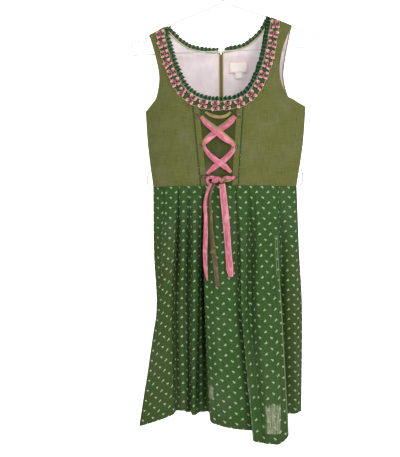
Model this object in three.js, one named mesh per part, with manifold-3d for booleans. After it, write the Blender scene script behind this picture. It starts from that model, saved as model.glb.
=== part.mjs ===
import * as THREE from 'three';
import { mergeVertices } from 'three/addons/utils/BufferGeometryUtils.js';
import Module from 'manifold-3d';

// A sleeveless folk dress hanging on a wire hanger.
// Millimetres, +Z up. The front faces -Y, and +X is to the right as seen from the front.
// The origin is the point inside the top of the hook that rests on a rod.

// --- Driving dimensions ---------------------------------------------------------------------

const CLOTH = 1.2; // thickness of a panel
const TRIM = 1.0; // thickness of a lining, band or ribbon
const GAP = 0.3; // clearance between neighbouring pieces
const WIRE_R = 1.3; // hanger wire
const WIRE_SIDES = 6;
const WRAP = 4.2; // radius of the shoulder seam over the wire
const SEAM_HALF = 1.6; // half the thickness of the closed side seam
const CENTRE_X = -5; // centre line of the front and the back
const LEAN = 0.0244; // the hanger hangs a little higher on the right
const WAIST_Z = -501.5;
const LENS = 2.6; // how full the panels stand between the side seams
const SHOULDER_ROWS = 1.7; // rows of a panel crowd towards the shoulder by this power
const LINING = { inside: 3.0, upTo: 0.93 }; // the lining lies inside the back and stops below the shoulder
const UNDERARM_SHARE = 0.45; // share of a panel's rows below the underarm
const BACK_SHARE = 0.62; // share of a back panel's rows along the centre seam

const HOOK = { radius: 21.3, apexZ: -88, fromTurn: -0.18, toTurn: 1.045 };
const ARM = { slope: 0.33, bow: 0.00047, start: 4, stride: 28, reach: 172, barZ: -196.6 };

// The end of an arm, past the shoulder: a raised notch, then the bend down to the bar.
const ARM_END = [[182, -169.5], [195, -164.8], [205, -170], [208, -181]];
const BAR_BEND = [[208, -190], [202, -196.6], [184, -196.6]];
const ARM_STOP = [208, -193]; // where the left arm meets the twisted end of the bar
const BAR_STOP = -205;

// The hook's bent shank, from the open curve down to the apex of the arms.
const SHANK = [[15.5, -32.5], [3, -58], [0, -66], [0, -84]];

const RUFFLE = { clear: 1.8, height: 10, wave: 1.9, rootShare: 0.35, pitch: 16 };
const BAND = { half: 10.5, lift: 0.7, from: 0.018, to: 0.982, bows: 20, bowLift: 2.8, bowMargin: -0.006 };
// Where each length of ruffle starts and ends, as shares of its neck edge.
const RUFFLE_SPANS = { front: [0.012, 0.988], backLeft: [0.09, 0.99], backRight: [0.01, 0.91] };
const STRIP_CLEAR = 3.5; // the placket and the piping stop this far under the neck band
const PLACKET = { width: 12, fromPiping: 2.5 };
const PIPING_R = 1.1;
const BOW = {
  height: 2.6,
  notchX: 4.2,
  notchY: 2.6,
  tipX: 9.2,
  tipY: 2.4,
  topX: 3.3,
  topY: 6.6,
  curlX: 10.7,
  curlY: 7.65,
};
const EYE = {
  halfWidth: 6.5,
  halfHeight: 4,
  slotX: 1.6,
  slotHalfWidth: 3,
  slotHalfHeight: 1.9,
  thickness: 1.1,
};
const LACE = { width: 13, loopWidth: 6 };
const KNOT = { x: -6, z: -489, lift: 8, halfX: 12.5, halfY: 4.6, halfZ: 6.5, slant: 1.5, cap: 0.94 };
const ZIP = { half: 5.1, topZ: -197, endZ: -600, inside: 2.4, belowWaist: 0.5, liningClear: 5.6, seat: 8 };
const SLIDER = {
  width: 6.4,
  tail: 4.6,
  length: 9,
  nose: 2,
  noseIn: 1.2,
  base: 1.4,
  eyeR: 2.1,
  holeR: 1.15,
  bridge: 1.8,
};
const PULL = { bar: 0.7, arm: 0.9, width: 6.2, length: 21, corner: 2, openingEnd: 4, thickness: 1.0 };
const LABEL = { left: 14, right: 56, top: -213, bottom: -239, thickness: 0.6 };

// Side outline of the bodice, and below the underarm its side seams.
const SIDES = [
  { z: -520, left: -156, right: 164 },
  { z: -503, left: -157, right: 165 },
  { z: -452, left: -164, right: 173 },
  { z: -400, left: -170, right: 180 },
  { z: -328, left: -175, right: 185 },
  { z: -250, left: -183, right: 190 },
  { z: -110, left: -188, right: 192 },
];

// How far the front and the back stand out, by the drop below the shoulder line.
const FULLNESS = [
  { drop: 0, front: 0, back: 0 },
  { drop: 20, front: 5, back: 3 },
  { drop: 60, front: 24, back: 14 },
  { drop: 120, front: 47, back: 28 },
  { drop: 190, front: 62, back: 37 },
  { drop: 240, front: 64, back: 38 },
  { drop: 300, front: 58, back: 37 },
  { drop: 360, front: 49, back: 36 },
  { drop: 440, front: 43, back: 36 },
];

// Armhole edges from the underarm up to the shoulder seam.
const ARMHOLES = {
  frontLeft: [[-175, -332], [-159, -317], [-146, -301], [-139.5, -258], [-150, -208], [-166, -156]],
  frontRight: [[185, -325], [158, -312], [141, -301], [127, -258], [133, -201], [154, -143]],
  backLeft: [[-175, -332], [-158, -318], [-144, -300], [-137.5, -258], [-149, -208], [-166, -156]],
  backRight: [[185, -325], [163, -314], [148, -301], [136.5, -255], [141, -208], [154, -143]],
};

// Neck edges from the left shoulder seam to the right one.
const NECK_FRONT = [
  [-131, -138.5], [-127, -165], [-116, -204], [-97, -253], [-74, -293], [-37, -316],
  [8, -320], [50, -309], [76, -273], [94, -219], [104, -160], [109, -123.5],
];
const NECK_BACK_LEFT = [[-131, -138.5], [-115, -156], [-96, -173], [-74, -185], [-43, -191], [-5, -193]];
const NECK_BACK_RIGHT = [[-5, -193], [43, -185], [69, -172], [90, -152], [109, -123.5]];

// The two piping lines, from the waist up to the neck band.
const PIPING = {
  left: { waist: -46, top: -59 },
  right: { waist: 38, top: 48 },
};
const PIPING_TOP_Z = -352;

// Skirt folds in order round the hem, starting at the left side seam. Each row is one fold line:
// its x at the waist, and where it runs at the hip, at the knee and at the hem.
const SEAM_SHARE = 0.012; // half the gap at a skirt seam, as a share of one fold
const HIP_T = 0.28;
const KNEE_T = 0.53;
const SKIRT_FOLDS = [
  { name: 'side_left', waist: -157, hip: [-156, 0], knee: [-152, 12], hem: [-175, 26, -1026] },
  { name: 'valley_left', waist: -130, hip: [-138, -14], knee: [-139, -5], hem: [-165, 8, -1030] },
  { name: 'panel_a_edge', waist: -121, hip: [-124, -40], knee: [-146, -27], hem: [-188, -8, -1042] },
  { name: 'panel_a_right', waist: -102, hip: [-105, -43], knee: [-113, -41], hem: [-110, -20, -1012] },
  { name: 'valley_a', waist: -95, hip: [-100, -16], knee: [-105, -19], hem: [-103, -1, -1007] },
  { name: 'ridge_b', waist: -83, hip: [-84, -36], knee: [-88, -31], hem: [-86, -8, -1006] },
  { name: 'valley_b', waist: -73, hip: [-74, -20], knee: [-75, -14], hem: [-74, 10, -1013] },
  { name: 'ridge_c', waist: -57, hip: [-56, -46], knee: [-58, -41], hem: [-62, -14, -1014] },
  { name: 'slope_c', waist: -47, hip: [-47, -34], knee: [-50, -23], hem: [-52, 4, -1011] },
  { name: 'valley_c', waist: -39, hip: [-41, -8], knee: [-40, 5], hem: [-34, 16, -1012] },
  { name: 'centre_left', waist: -31, hip: [-31, -53], knee: [-27, -64], hem: [-11, -76, -1015] },
  { name: 'centre_mid', waist: 2, hip: [5, -62], knee: [8, -76], hem: [28, -89, -1020] },
  { name: 'valley_d', waist: 31, hip: [36, -47], knee: [44, -60], hem: [82, -80, -1028] },
  { name: 'front_left_edge', waist: 42, hip: [47, -60], knee: [48, -79], hem: [71, -104, -1040] },
  { name: 'valley_e', waist: 62, hip: [64, -40], knee: [65, -63], hem: [91, -101, -1045] },
  { name: 'front_mid', waist: 79, hip: [85, -62], knee: [92, -83], hem: [109, -111, -1044] },
  { name: 'crease_f', waist: 97, hip: [106, -51], knee: [115, -73], hem: [125, -107, -1045] },
  { name: 'knife_edge', waist: 119, hip: [123, -48], knee: [131, -67], hem: [144, -98, -1030] },
  { name: 'valley_g', waist: 127, hip: [131, -16], knee: [128, -8], hem: [133, 12, -1012] },
  { name: 'ridge_h', waist: 147, hip: [155, -21], knee: [160, -16], hem: [163, 10, -1011] },
  { name: 'side_right', waist: 165, hip: [171, 2], knee: [178, 12], hem: [177, 30, -1009] },
  { name: 'side_right_back', waist: 165, hip: [171, 3.5], knee: [178, 13.4], hem: [177, 31.4, -1009] },
  { name: 'back_valley_1', waist: 146, hip: [156, 20], knee: [161, 32], hem: [163, 50, -1012] },
  { name: 'back_ridge_1', waist: 126, hip: [132, 38], knee: [137, 52], hem: [141, 74, -1016] },
  { name: 'back_valley_2', waist: 110, hip: [113, 26], knee: [117, 32], hem: [122, 47, -1015] },
  { name: 'back_ridge_2', waist: 90, hip: [91, 50], knee: [94, 65], hem: [99, 88, -1019] },
  { name: 'back_valley_3', waist: 70, hip: [73, 34], knee: [77, 44], hem: [82, 63, -1018] },
  { name: 'back_ridge_3', waist: 49, hip: [50, 56], knee: [52, 72], hem: [56, 96, -1021] },
  { name: 'back_valley_4', waist: 29, hip: [31, 39], knee: [34, 50], hem: [40, 72, -1018] },
  { name: 'back_ridge_4', waist: 13, hip: [13, 51], knee: [14, 67], hem: [17, 90, -1020] },
  { name: 'centre_back', waist: -5, hip: [-5, 45], knee: [-5, 57], hem: [-5, 79, -1018] },
  { name: 'back_ridge_5', waist: -23, hip: [-22, 53], knee: [-22, 70], hem: [-26, 94, -1021] },
  { name: 'back_valley_5', waist: -40, hip: [-41, 37], knee: [-43, 47], hem: [-48, 67, -1019] },
  { name: 'back_ridge_6', waist: -60, hip: [-62, 53], knee: [-65, 69], hem: [-71, 91, -1022] },
  { name: 'back_valley_6', waist: -79, hip: [-81, 32], knee: [-85, 39], hem: [-92, 59, -1019] },
  { name: 'back_ridge_7', waist: -98, hip: [-102, 45], knee: [-107, 58], hem: [-114, 81, -1023] },
  { name: 'back_valley_7', waist: -114, hip: [-119, 22], knee: [-123, 28], hem: [-133, 47, -1021] },
  { name: 'back_ridge_8', waist: -130, hip: [-137, 30], knee: [-141, 41], hem: [-156, 61, -1027] },
  { name: 'side_left_back', waist: -157, hip: [-156, 1.5], knee: [-152, 13], hem: [-175, 27, -1026] },
];

// Hooks that carry the lacing: where each one sits on the front.
const HOOKS = [
  { name: 'hook_left_top', x: -49, z: -352, turn: 0 },
  { name: 'hook_left_middle', x: -42, z: -416, turn: 0 },
  { name: 'hook_left_bottom', x: -38, z: -482, turn: 0 },
  { name: 'hook_right_top', x: 38, z: -353, turn: Math.PI },
  { name: 'hook_right_middle', x: 33, z: -419, turn: Math.PI },
  { name: 'hook_right_bottom', x: 29, z: -482, turn: Math.PI },
];

// Lacing routes on the front: x, z and the height above the cloth.
const LACE_LEFT = [
  [-43, -354, 3.4], [-12, -383, 5.6], [27, -415, 3.4], [20, -428, 3.4], [-4, -452, 3.4], [-31, -476, 3.4],
];
const LACE_RIGHT = [
  [32, -354, 3.4], [-9, -385, 3.4], [-36, -413, 3.4], [-27, -429, 3.4], [-1, -452, 5.6], [22, -475, 3.4],
];
const OLIVE_LOOP = [[-33, -344, 2.4], [-18, -352, 5.5], [-3, -355, 8], [12, -352.5, 5.5], [22, -344.5, 2.4]];

// Free ends of the lacing, in space: x, distance in front of the hanger, z, and width.
const TAIL_PINK_LEFT = [
  [-21, -61, -498, 6], [-30, -63, -520, 6.5], [-33.5, -65, -546, 8], [-32, -66, -575, 7.5],
  [-32.5, -67, -610, 9.5], [-33.5, -68, -644, 10], [-32.5, -69, -681, 9.5], [-28.5, -70, -708, 3],
];
const TAIL_PINK_RIGHT = [
  [3, -62, -499, 13], [7, -65, -532, 14.5], [10.5, -68, -565, 14.5], [15.5, -72, -627, 14.5],
  [20.5, -76, -683, 15], [23, -77, -699, 9],
];
const TAIL_OLIVE = [
  [-13, -61, -499, 5], [-22, -63.5, -520, 5.5], [-21, -66, -572, 7], [-18, -69, -620, 10],
  [-11, -73, -674, 10.5], [-5.5, -76, -720, 9],
];

const THREAD_LOOPS = {
  left: [[-165.5, -463], [-170, -476], [-170.5, -492], [-160.5, -507]],
  right: [[174, -460], [178.5, -474], [177.5, -492], [168.5, -506]],
};
const THREAD_R = 0.9;

const wasm = await Module();
wasm.setup();

// --- Small tools --------------------------------------------------------------------------------

const lerp = THREE.MathUtils.lerp;
const clamp = THREE.MathUtils.clamp;
const smooth = THREE.MathUtils.smoothstep;

/** Reads one column of a table at any value of its index column, as a smooth curve. */
function column(rows, index, key) {
  const sorted = [...rows].sort((a, b) => a[index] - b[index]);
  const slope = (i) => {
    const a = sorted[Math.max(i - 1, 0)];
    const b = sorted[Math.min(i + 1, sorted.length - 1)];
    return (b[key] - a[key]) / (b[index] - a[index]);
  };
  return (value) => {
    const last = sorted.length - 2;
    const at = clamp(sorted.findIndex((row) => row[index] > value) - 1, 0, last);
    const i = value >= sorted[last + 1][index] ? last : at;
    const span = sorted[i + 1][index] - sorted[i][index];
    const t = clamp((value - sorted[i][index]) / span, 0, 1);
    const t2 = t * t;
    const t3 = t2 * t;
    return (
      (2 * t3 - 3 * t2 + 1) * sorted[i][key] +
      (t3 - 2 * t2 + t) * span * slope(i) +
      (3 * t2 - 2 * t3) * sorted[i + 1][key] +
      (t3 - t2) * span * slope(i + 1)
    );
  };
}

const spline2 = (points) => new THREE.SplineCurve(points.map(([x, z]) => new THREE.Vector2(x, z)));

/** Finds where a curve of the front or back reaches a given x. */
function reachX(curve, x) {
  let low = 0;
  let high = 1;
  for (let i = 0; i < 40; i += 1) {
    const mid = (low + high) / 2;
    if (curve.getPointAt(mid).x < x) low = mid;
    else high = mid;
  }
  return low;
}

/** Part of a curve, followed from one share of its length to another. */
const stretch = (curve, from, to) => (t) => curve.getPointAt(lerp(from, to, t));

/** Two stretches one after the other, meeting at a share of the way. */
const chain = (first, second, meet) => (t) => (t < meet ? first(t / meet) : second((t - meet) / (1 - meet)));

function closedGeometry(vertices, faces) {
  let volume = 0;
  const corner = new THREE.Vector3();
  for (const [a, b, c] of faces) {
    volume += vertices[a].dot(corner.crossVectors(vertices[b], vertices[c]));
  }
  const outward = volume > 0 ? faces : faces.map(([a, b, c]) => [a, c, b]);
  const geometry = new THREE.BufferGeometry();
  const numbers = vertices.flatMap((point) => point.toArray());
  geometry.setAttribute('position', new THREE.Float32BufferAttribute(numbers, 3));
  geometry.setIndex(outward.flat());
  geometry.computeVertexNormals();
  return geometry;
}

/**
 * A sheet of cloth as a closed wall. pointAt(u, v) is its outer face, with u to the right and v
 * upwards as seen from outside, and the inner face lies one thickness inside it.
 */
function wall(pointAt, columns, rows, thickness) {
  const outer = [];
  for (let j = 0; j <= rows; j += 1) {
    for (let i = 0; i <= columns; i += 1) outer.push(pointAt(i / columns, j / rows));
  }
  const id = (i, j) => j * (columns + 1) + i;
  const at = (i, j) => outer[id(clamp(i, 0, columns), clamp(j, 0, rows))];
  const inner = outer.map((point, k) => {
    const i = k % (columns + 1);
    const j = Math.floor(k / (columns + 1));
    const across = at(i + 1, j).clone().sub(at(i - 1, j));
    const up = at(i, j + 1).clone().sub(at(i, j - 1));
    return point.clone().addScaledVector(across.cross(up).normalize(), -thickness);
  });
  const size = outer.length;
  const faces = [];
  const quad = (a, b, c, d) => faces.push([a, b, c], [a, c, d]);
  for (let j = 0; j < rows; j += 1) {
    for (let i = 0; i < columns; i += 1) {
      quad(id(i, j), id(i + 1, j), id(i + 1, j + 1), id(i, j + 1));
      quad(size + id(i, j), size + id(i, j + 1), size + id(i + 1, j + 1), size + id(i + 1, j));
    }
  }
  for (let i = 0; i < columns; i += 1) {
    quad(size + id(i, 0), size + id(i + 1, 0), id(i + 1, 0), id(i, 0));
    quad(id(i, rows), id(i + 1, rows), size + id(i + 1, rows), size + id(i, rows));
  }
  for (let j = 0; j < rows; j += 1) {
    quad(id(0, j), id(0, j + 1), size + id(0, j + 1), size + id(0, j));
    quad(size + id(columns, j), size + id(columns, j + 1), id(columns, j + 1), id(columns, j));
  }
  return closedGeometry([...outer, ...inner], faces);
}

/** A closed body through rings of equally many points, with a flat cap at each end. */
function loft(rings) {
  const count = rings[0].length;
  const faces = [];
  for (let j = 0; j < rings.length - 1; j += 1) {
    for (let i = 0; i < count; i += 1) {
      const a = j * count + i;
      const b = j * count + ((i + 1) % count);
      faces.push([a, b, b + count], [a, b + count, a + count]);
    }
  }
  const end = (rings.length - 1) * count;
  for (let i = 1; i < count - 1; i += 1) {
    faces.push([0, i + 1, i], [end, end + i, end + i + 1]);
  }
  return closedGeometry(rings.flat(), faces);
}

/** An extruded outline as one closed body with shared corners. */
function extruded(shape, options) {
  const geometry = new THREE.ExtrudeGeometry(shape, { bevelEnabled: false, ...options });
  geometry.deleteAttribute('normal');
  geometry.deleteAttribute('uv');
  const welded = mergeVertices(geometry, 1e-4);
  welded.computeVertexNormals();
  return welded;
}

/** A flat ribbon along a route; each stop gives its point, its normal and its width. */
function ribbon(stops, thickness) {
  const rings = stops.map(({ point, normal, width }, i) => {
    const before = stops[Math.max(i - 1, 0)].point;
    const after = stops[Math.min(i + 1, stops.length - 1)].point;
    const along = after.clone().sub(before).normalize();
    const across = along.clone().cross(normal).normalize();
    const face = across.clone().cross(along).normalize();
    const corner = (side, height) =>
      point.clone().addScaledVector(across, (side * width) / 2).addScaledVector(face, height * thickness);
    return [corner(-1, 0), corner(1, 0), corner(1, 1), corner(-1, 1)];
  });
  return loft(rings);
}

/** A round rod along a smooth curve, with a few steps between one given point and the next. */
function rod(points, radius, stepsEach, sides) {
  const path = new THREE.CatmullRomCurve3(points, false, 'centripetal');
  const steps = (points.length - 1) * stepsEach;
  const normal = new THREE.Vector3(0, 1, 0);
  const rings = [];
  for (let i = 0; i <= steps; i += 1) {
    const centre = path.getPoint(i / steps);
    const along = path.getTangent(i / steps);
    normal.addScaledVector(along, -normal.dot(along)).normalize();
    const across = along.clone().cross(normal);
    const ring = [];
    for (let k = 0; k < sides; k += 1) {
      const angle = (2 * Math.PI * k) / sides;
      ring.push(
        centre
          .clone()
          .addScaledVector(normal, radius * Math.cos(angle))
          .addScaledVector(across, radius * Math.sin(angle)),
      );
    }
    rings.push(ring);
  }
  return loft(rings);
}

// --- The form of the cloth ----------------------------------------------------------------------

const sideLeft = column(SIDES, 'z', 'left');
const sideRight = column(SIDES, 'z', 'right');
const frontFullness = column(FULLNESS, 'drop', 'front');
const backFullness = column(FULLNESS, 'drop', 'back');

/** Height of the hanger's arm, and of the shoulder seam that lies over it. */
const armZ = (x) => HOOK.apexZ - ARM.slope * Math.abs(x) - ARM.bow * x * x + LEAN * x;
const shoulderZ = (x) => armZ(x) + WRAP;

/** How far across the half panel a point lies: 0 at the centre line, 1 at the side. */
function acrossShare(x, z) {
  const reach = x < CENTRE_X ? CENTRE_X - sideLeft(z) : sideRight(z) - CENTRE_X;
  return clamp(Math.abs(x - CENTRE_X) / reach, 0, 1);
}

/** Distance of the front or the back from the plane of the hanger. */
function depth(fullness, x, z) {
  const drop = Math.max(shoulderZ(x) - z, 0);
  const over = 1 - Math.min(drop, WRAP) / WRAP;
  const bend = WRAP * Math.sqrt(1 - over * over);
  const wrap = lerp(bend, SEAM_HALF, smooth(drop, 20, 150));
  return wrap + fullness(drop) * (1 - acrossShare(x, z) ** LENS);
}

/** A point on the outside of the front or back, lifted off the cloth by a distance. */
function onBodice(fullness, facing, x, z, lift = 0) {
  const point = (px, pz) => new THREE.Vector3(px, facing * depth(fullness, px, pz), pz);
  const step = 0.5;
  const here = point(x, z);
  const acrossStep = point(x + step, z).sub(point(x - step, z));
  const upStep = point(x, z + step).sub(point(x, z - step));
  const normal = acrossStep.cross(upStep).multiplyScalar(-facing).normalize();
  return { point: here.addScaledVector(normal, lift), normal };
}
const onFront = (x, z, lift) => onBodice(frontFullness, -1, x, z, lift);
const onBack = (x, z, lift) => onBodice(backFullness, 1, x, z, lift);

const pipingX = (line, z) => lerp(line.waist, line.top, (z - WAIST_Z) / (PIPING_TOP_Z - WAIST_Z));

const neckFront = spline2(NECK_FRONT);

/** Height of the front neck edge above a point of the front insert. */
const neckZ = (x) => neckFront.getPointAt(reachX(neckFront, x)).y;

// --- Hanger -------------------------------------------------------------------------------------

function hangerArm(side, withBar) {
  const points = [];
  const lean = ([x, z]) => new THREE.Vector3(side * x, 0, z + LEAN * side * x);
  for (let reach = ARM.start; reach <= ARM.reach; reach += ARM.stride) {
    points.push(new THREE.Vector3(side * reach, 0, armZ(side * reach)));
  }
  points.push(...ARM_END.map(lean));
  if (withBar) {
    points.push(...BAR_BEND.map(lean));
    points.push(lean([-BAR_BEND.at(-1)[0], ARM.barZ]));
    points.push(lean([BAR_STOP, ARM.barZ]));
  } else {
    points.push(lean(ARM_STOP));
  }
  return rod(points, WIRE_R, 2, WIRE_SIDES);
}

function hangerHook() {
  const points = [];
  const centreZ = -HOOK.radius + WIRE_R;
  const turns = 13;
  for (let i = 0; i <= turns; i += 1) {
    const angle = Math.PI * lerp(HOOK.fromTurn, HOOK.toTurn, i / turns);
    const rise = HOOK.radius * Math.sin(angle);
    points.push(new THREE.Vector3(-HOOK.radius * Math.cos(angle), 0, centreZ + rise));
  }
  points.push(...SHANK.map(([x, z]) => new THREE.Vector3(x, 0, z)));
  return rod(points, WIRE_R, 2, WIRE_SIDES);
}

// --- Bodice -------------------------------------------------------------------------------------

/** A bodice panel between two edges, each a function that gives x and z on the way up. */
function bodicePanel(place, leftEdge, rightEdge, columns, rows, lift, thickness) {
  const pointAt = (u, v) => {
    const up = 1 - (1 - v) ** SHOULDER_ROWS;
    const left = leftEdge(up);
    const right = rightEdge(up);
    return place(lerp(left.x, right.x, u), lerp(left.y, right.y, u), lift).point;
  };
  return wall(pointAt, columns, rows, thickness);
}

/** The side seam from the waist to the underarm, then the armhole up to the shoulder. */
function outerEdge(side, armhole, inset, upTo) {
  const outline = side < 0 ? sideLeft : sideRight;
  const underarm = armhole[0][1];
  const bottom = WAIST_Z + GAP / 2;
  const seam = (t) => {
    const z = lerp(bottom, underarm, t);
    return new THREE.Vector2(outline(z) - side * inset, z);
  };
  const opening = stretch(spline2(armhole), 0, upTo);
  const inner = (t) => {
    const point = opening(t);
    return new THREE.Vector2(point.x - side * inset, point.y);
  };
  return chain(seam, inner, UNDERARM_SHARE);
}

/** The piping seam from the waist to the neck, then the neck edge up to the shoulder. */
function frontInnerEdge(side, line) {
  const join = reachX(neckFront, line.top - side * 2);
  const joinPoint = neckFront.getPointAt(join);
  const seam = (t) => {
    const z = lerp(WAIST_Z + GAP / 2, joinPoint.y, t);
    return new THREE.Vector2(pipingX(line, z) + (side * GAP) / 2, z);
  };
  const edge = stretch(neckFront, join, side < 0 ? 0 : 1);
  return chain(seam, edge, UNDERARM_SHARE);
}

function frontPanel(side) {
  const name = side < 0 ? 'frontLeft' : 'frontRight';
  const outer = outerEdge(side, ARMHOLES[name], 0, 1);
  const inner = frontInnerEdge(side, side < 0 ? PIPING.left : PIPING.right);
  const [left, right] = side < 0 ? [outer, inner] : [inner, outer];
  return bodicePanel(onFront, left, right, 5, 12, 0, CLOTH);
}

function frontInsert() {
  const pointAt = (u, v) => {
    const topX = lerp(PIPING.left.top + 2, PIPING.right.top - 2, u);
    const z = lerp(WAIST_Z + GAP / 2, neckZ(topX), v);
    const left = pipingX(PIPING.left, z) + GAP / 2;
    const right = pipingX(PIPING.right, z) - GAP / 2;
    return onFront(lerp(left, right, u), z, 0).point;
  };
  return wall(pointAt, 6, 6, CLOTH);
}

/** Height at which a strip beside the piping meets the neck band. */
const stripTop = (x) => neckZ(x) - BAND.half * 2 - STRIP_CLEAR;

function placket(side) {
  const line = side < 0 ? PIPING.left : PIPING.right;
  const pointAt = (u, v) => {
    const inner = PLACKET.fromPiping + PLACKET.width;
    const offset = side < 0 ? lerp(PLACKET.fromPiping, inner, u) : lerp(-inner, -PLACKET.fromPiping, u);
    const z = lerp(WAIST_Z + GAP, stripTop(line.top + offset), v);
    return onFront(pipingX(line, z) + offset, z, GAP + TRIM).point;
  };
  return wall(pointAt, 1, 6, TRIM);
}

function piping(side) {
  const line = side < 0 ? PIPING.left : PIPING.right;
  const points = [];
  const rows = 8;
  for (let i = 0; i <= rows; i += 1) {
    const z = lerp(WAIST_Z + GAP, stripTop(line.top), i / rows);
    points.push(onFront(pipingX(line, z), z, 3 * GAP + PIPING_R).point);
  }
  return rod(points, PIPING_R, 1, 6);
}

/** The centre back from the waist to the neck, then the back neck edge up to the shoulder. */
function backInnerEdge(side, clear, inset, upTo) {
  const neck = side < 0 ? spline2(NECK_BACK_LEFT) : spline2(NECK_BACK_RIGHT);
  const x = CENTRE_X + side * clear;
  const top = neck.getPointAt(reachX(neck, x)).y - inset;
  const seam = (t) => new THREE.Vector2(x, lerp(WAIST_Z + GAP / 2, top, t));
  const join = reachX(neck, x);
  const edge = (t) => {
    const point = neck.getPointAt(lerp(join, side < 0 ? 0 : 1, t * upTo));
    return new THREE.Vector2(point.x, point.y - inset);
  };
  return chain(seam, edge, BACK_SHARE);
}

function backPanel(side, { clear, lift, thickness, inset, upTo }) {
  const armhole = ARMHOLES[side < 0 ? 'backLeft' : 'backRight'];
  const outer = outerEdge(side, armhole, inset, upTo);
  const inner = backInnerEdge(side, clear, inset, upTo);
  const [left, right] = side < 0 ? [inner, outer] : [outer, inner];
  return bodicePanel(onBack, left, right, 5, 12, lift, thickness);
}

const backCloth = (side) =>
  backPanel(side, { clear: GAP / 2, lift: 0, thickness: CLOTH, inset: 0, upTo: 1 });
const backLining = (side) => {
  const { inside, upTo } = LINING;
  return backPanel(side, { clear: ZIP.liningClear, lift: -inside, thickness: TRIM, inset: inside, upTo });
};

function label() {
  const pointAt = (u, v) => {
    const x = lerp(LABEL.right, LABEL.left, u);
    const z = lerp(LABEL.bottom, LABEL.top, v);
    return onBack(x, z, -LINING.inside - TRIM - 3 * GAP).point;
  };
  return wall(pointAt, 3, 2, LABEL.thickness);
}

// --- Skirt --------------------------------------------------------------------------------------

/** One fold line as a function of the share of the way down from the waist to the hem. */
function foldLine(fold, order) {
  const place = order <= SKIRT_FOLDS.findIndex((row) => row.name === 'side_right') ? onFront : onBack;
  const top = WAIST_Z - GAP / 2;
  const start = place(fold.waist, top, 0).point;
  const stations = [
    { t: 0, x: start.x, y: start.y, z: top },
    { t: HIP_T, x: fold.hip[0], y: fold.hip[1], z: lerp(top, fold.hem[2], HIP_T) },
    { t: KNEE_T, x: fold.knee[0], y: fold.knee[1], z: lerp(top, fold.hem[2], KNEE_T) },
    { t: 1, x: fold.hem[0], y: fold.hem[1], z: fold.hem[2] },
  ];
  const [x, y, z] = ['x', 'y', 'z'].map((key) => column(stations, 't', key));
  return (t) => new THREE.Vector3(x(t), y(t), z(t));
}
const foldLines = SKIRT_FOLDS.map(foldLine);

const ringAt = (t) => new THREE.CatmullRomCurve3(foldLines.map((line) => line(t)), true, 'centripetal');

/** A width of the skirt from one named fold to another, going round to the right. */
function skirtPanel(from, to, perFold, rows) {
  const count = SKIRT_FOLDS.length;
  const start = SKIRT_FOLDS.findIndex((fold) => fold.name === from);
  const found = SKIRT_FOLDS.findIndex((fold) => fold.name === to);
  const folds = (found - start + count) % count;
  const rings = Array.from({ length: rows + 1 }, (_, j) => ringAt(1 - j / rows));
  const pointAt = (u, v) => {
    const place = start + clamp(u * folds, SEAM_SHARE, folds - SEAM_SHARE);
    return rings[Math.round(v * rows)].getPoint((place % count) / count);
  };
  return wall(pointAt, folds * perFold, rows, CLOTH);
}

// --- Zip ----------------------------------------------------------------------------------------

const centreBack = foldLines[SKIRT_FOLDS.findIndex((fold) => fold.name === 'centre_back')];

function zipTape() {
  const stops = [];
  const rows = 18;
  const drop = centreBack(0).z - centreBack(1).z;
  for (let i = 0; i <= rows; i += 1) {
    const z = lerp(ZIP.topZ, ZIP.endZ, i / rows);
    const below = centreBack(clamp((WAIST_Z - z) / drop, 0, 1));
    below.set(below.x, below.y - ZIP.inside - ZIP.belowWaist, z);
    const point = z > WAIST_Z ? onBack(CENTRE_X, z, -ZIP.inside).point : below;
    stops.push({ point, normal: new THREE.Vector3(0, -1, 0), width: 2 * ZIP.half });
  }
  return ribbon(stops, TRIM);
}

/** The slider lies on the outside of the centre back, just under the neck edge. */
const zipSeat = onBack(CENTRE_X, ZIP.topZ - ZIP.seat, GAP);
const zipTilt = Math.atan2(zipSeat.normal.z, zipSeat.normal.y);

function placeOnZip(mesh, lift) {
  mesh.position.copy(zipSeat.point).addScaledVector(zipSeat.normal, lift);
  mesh.rotation.x = zipTilt;
  return mesh;
}

/** Joins two closed bodies into one. */
function joined(first, second) {
  const [a, b] = [first, second].map((geometry) => {
    const vertProperties = geometry.attributes.position.array;
    const triVerts = new Uint32Array(geometry.index.array);
    return new wasm.Manifold(new wasm.Mesh({ numProp: 3, vertProperties, triVerts }));
  });
  const { vertProperties, triVerts } = a.add(b).getMesh();
  const geometry = new THREE.BufferGeometry();
  geometry.setAttribute('position', new THREE.BufferAttribute(vertProperties, 3));
  geometry.setIndex([...triVerts]);
  geometry.computeVertexNormals();
  return geometry;
}

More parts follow.
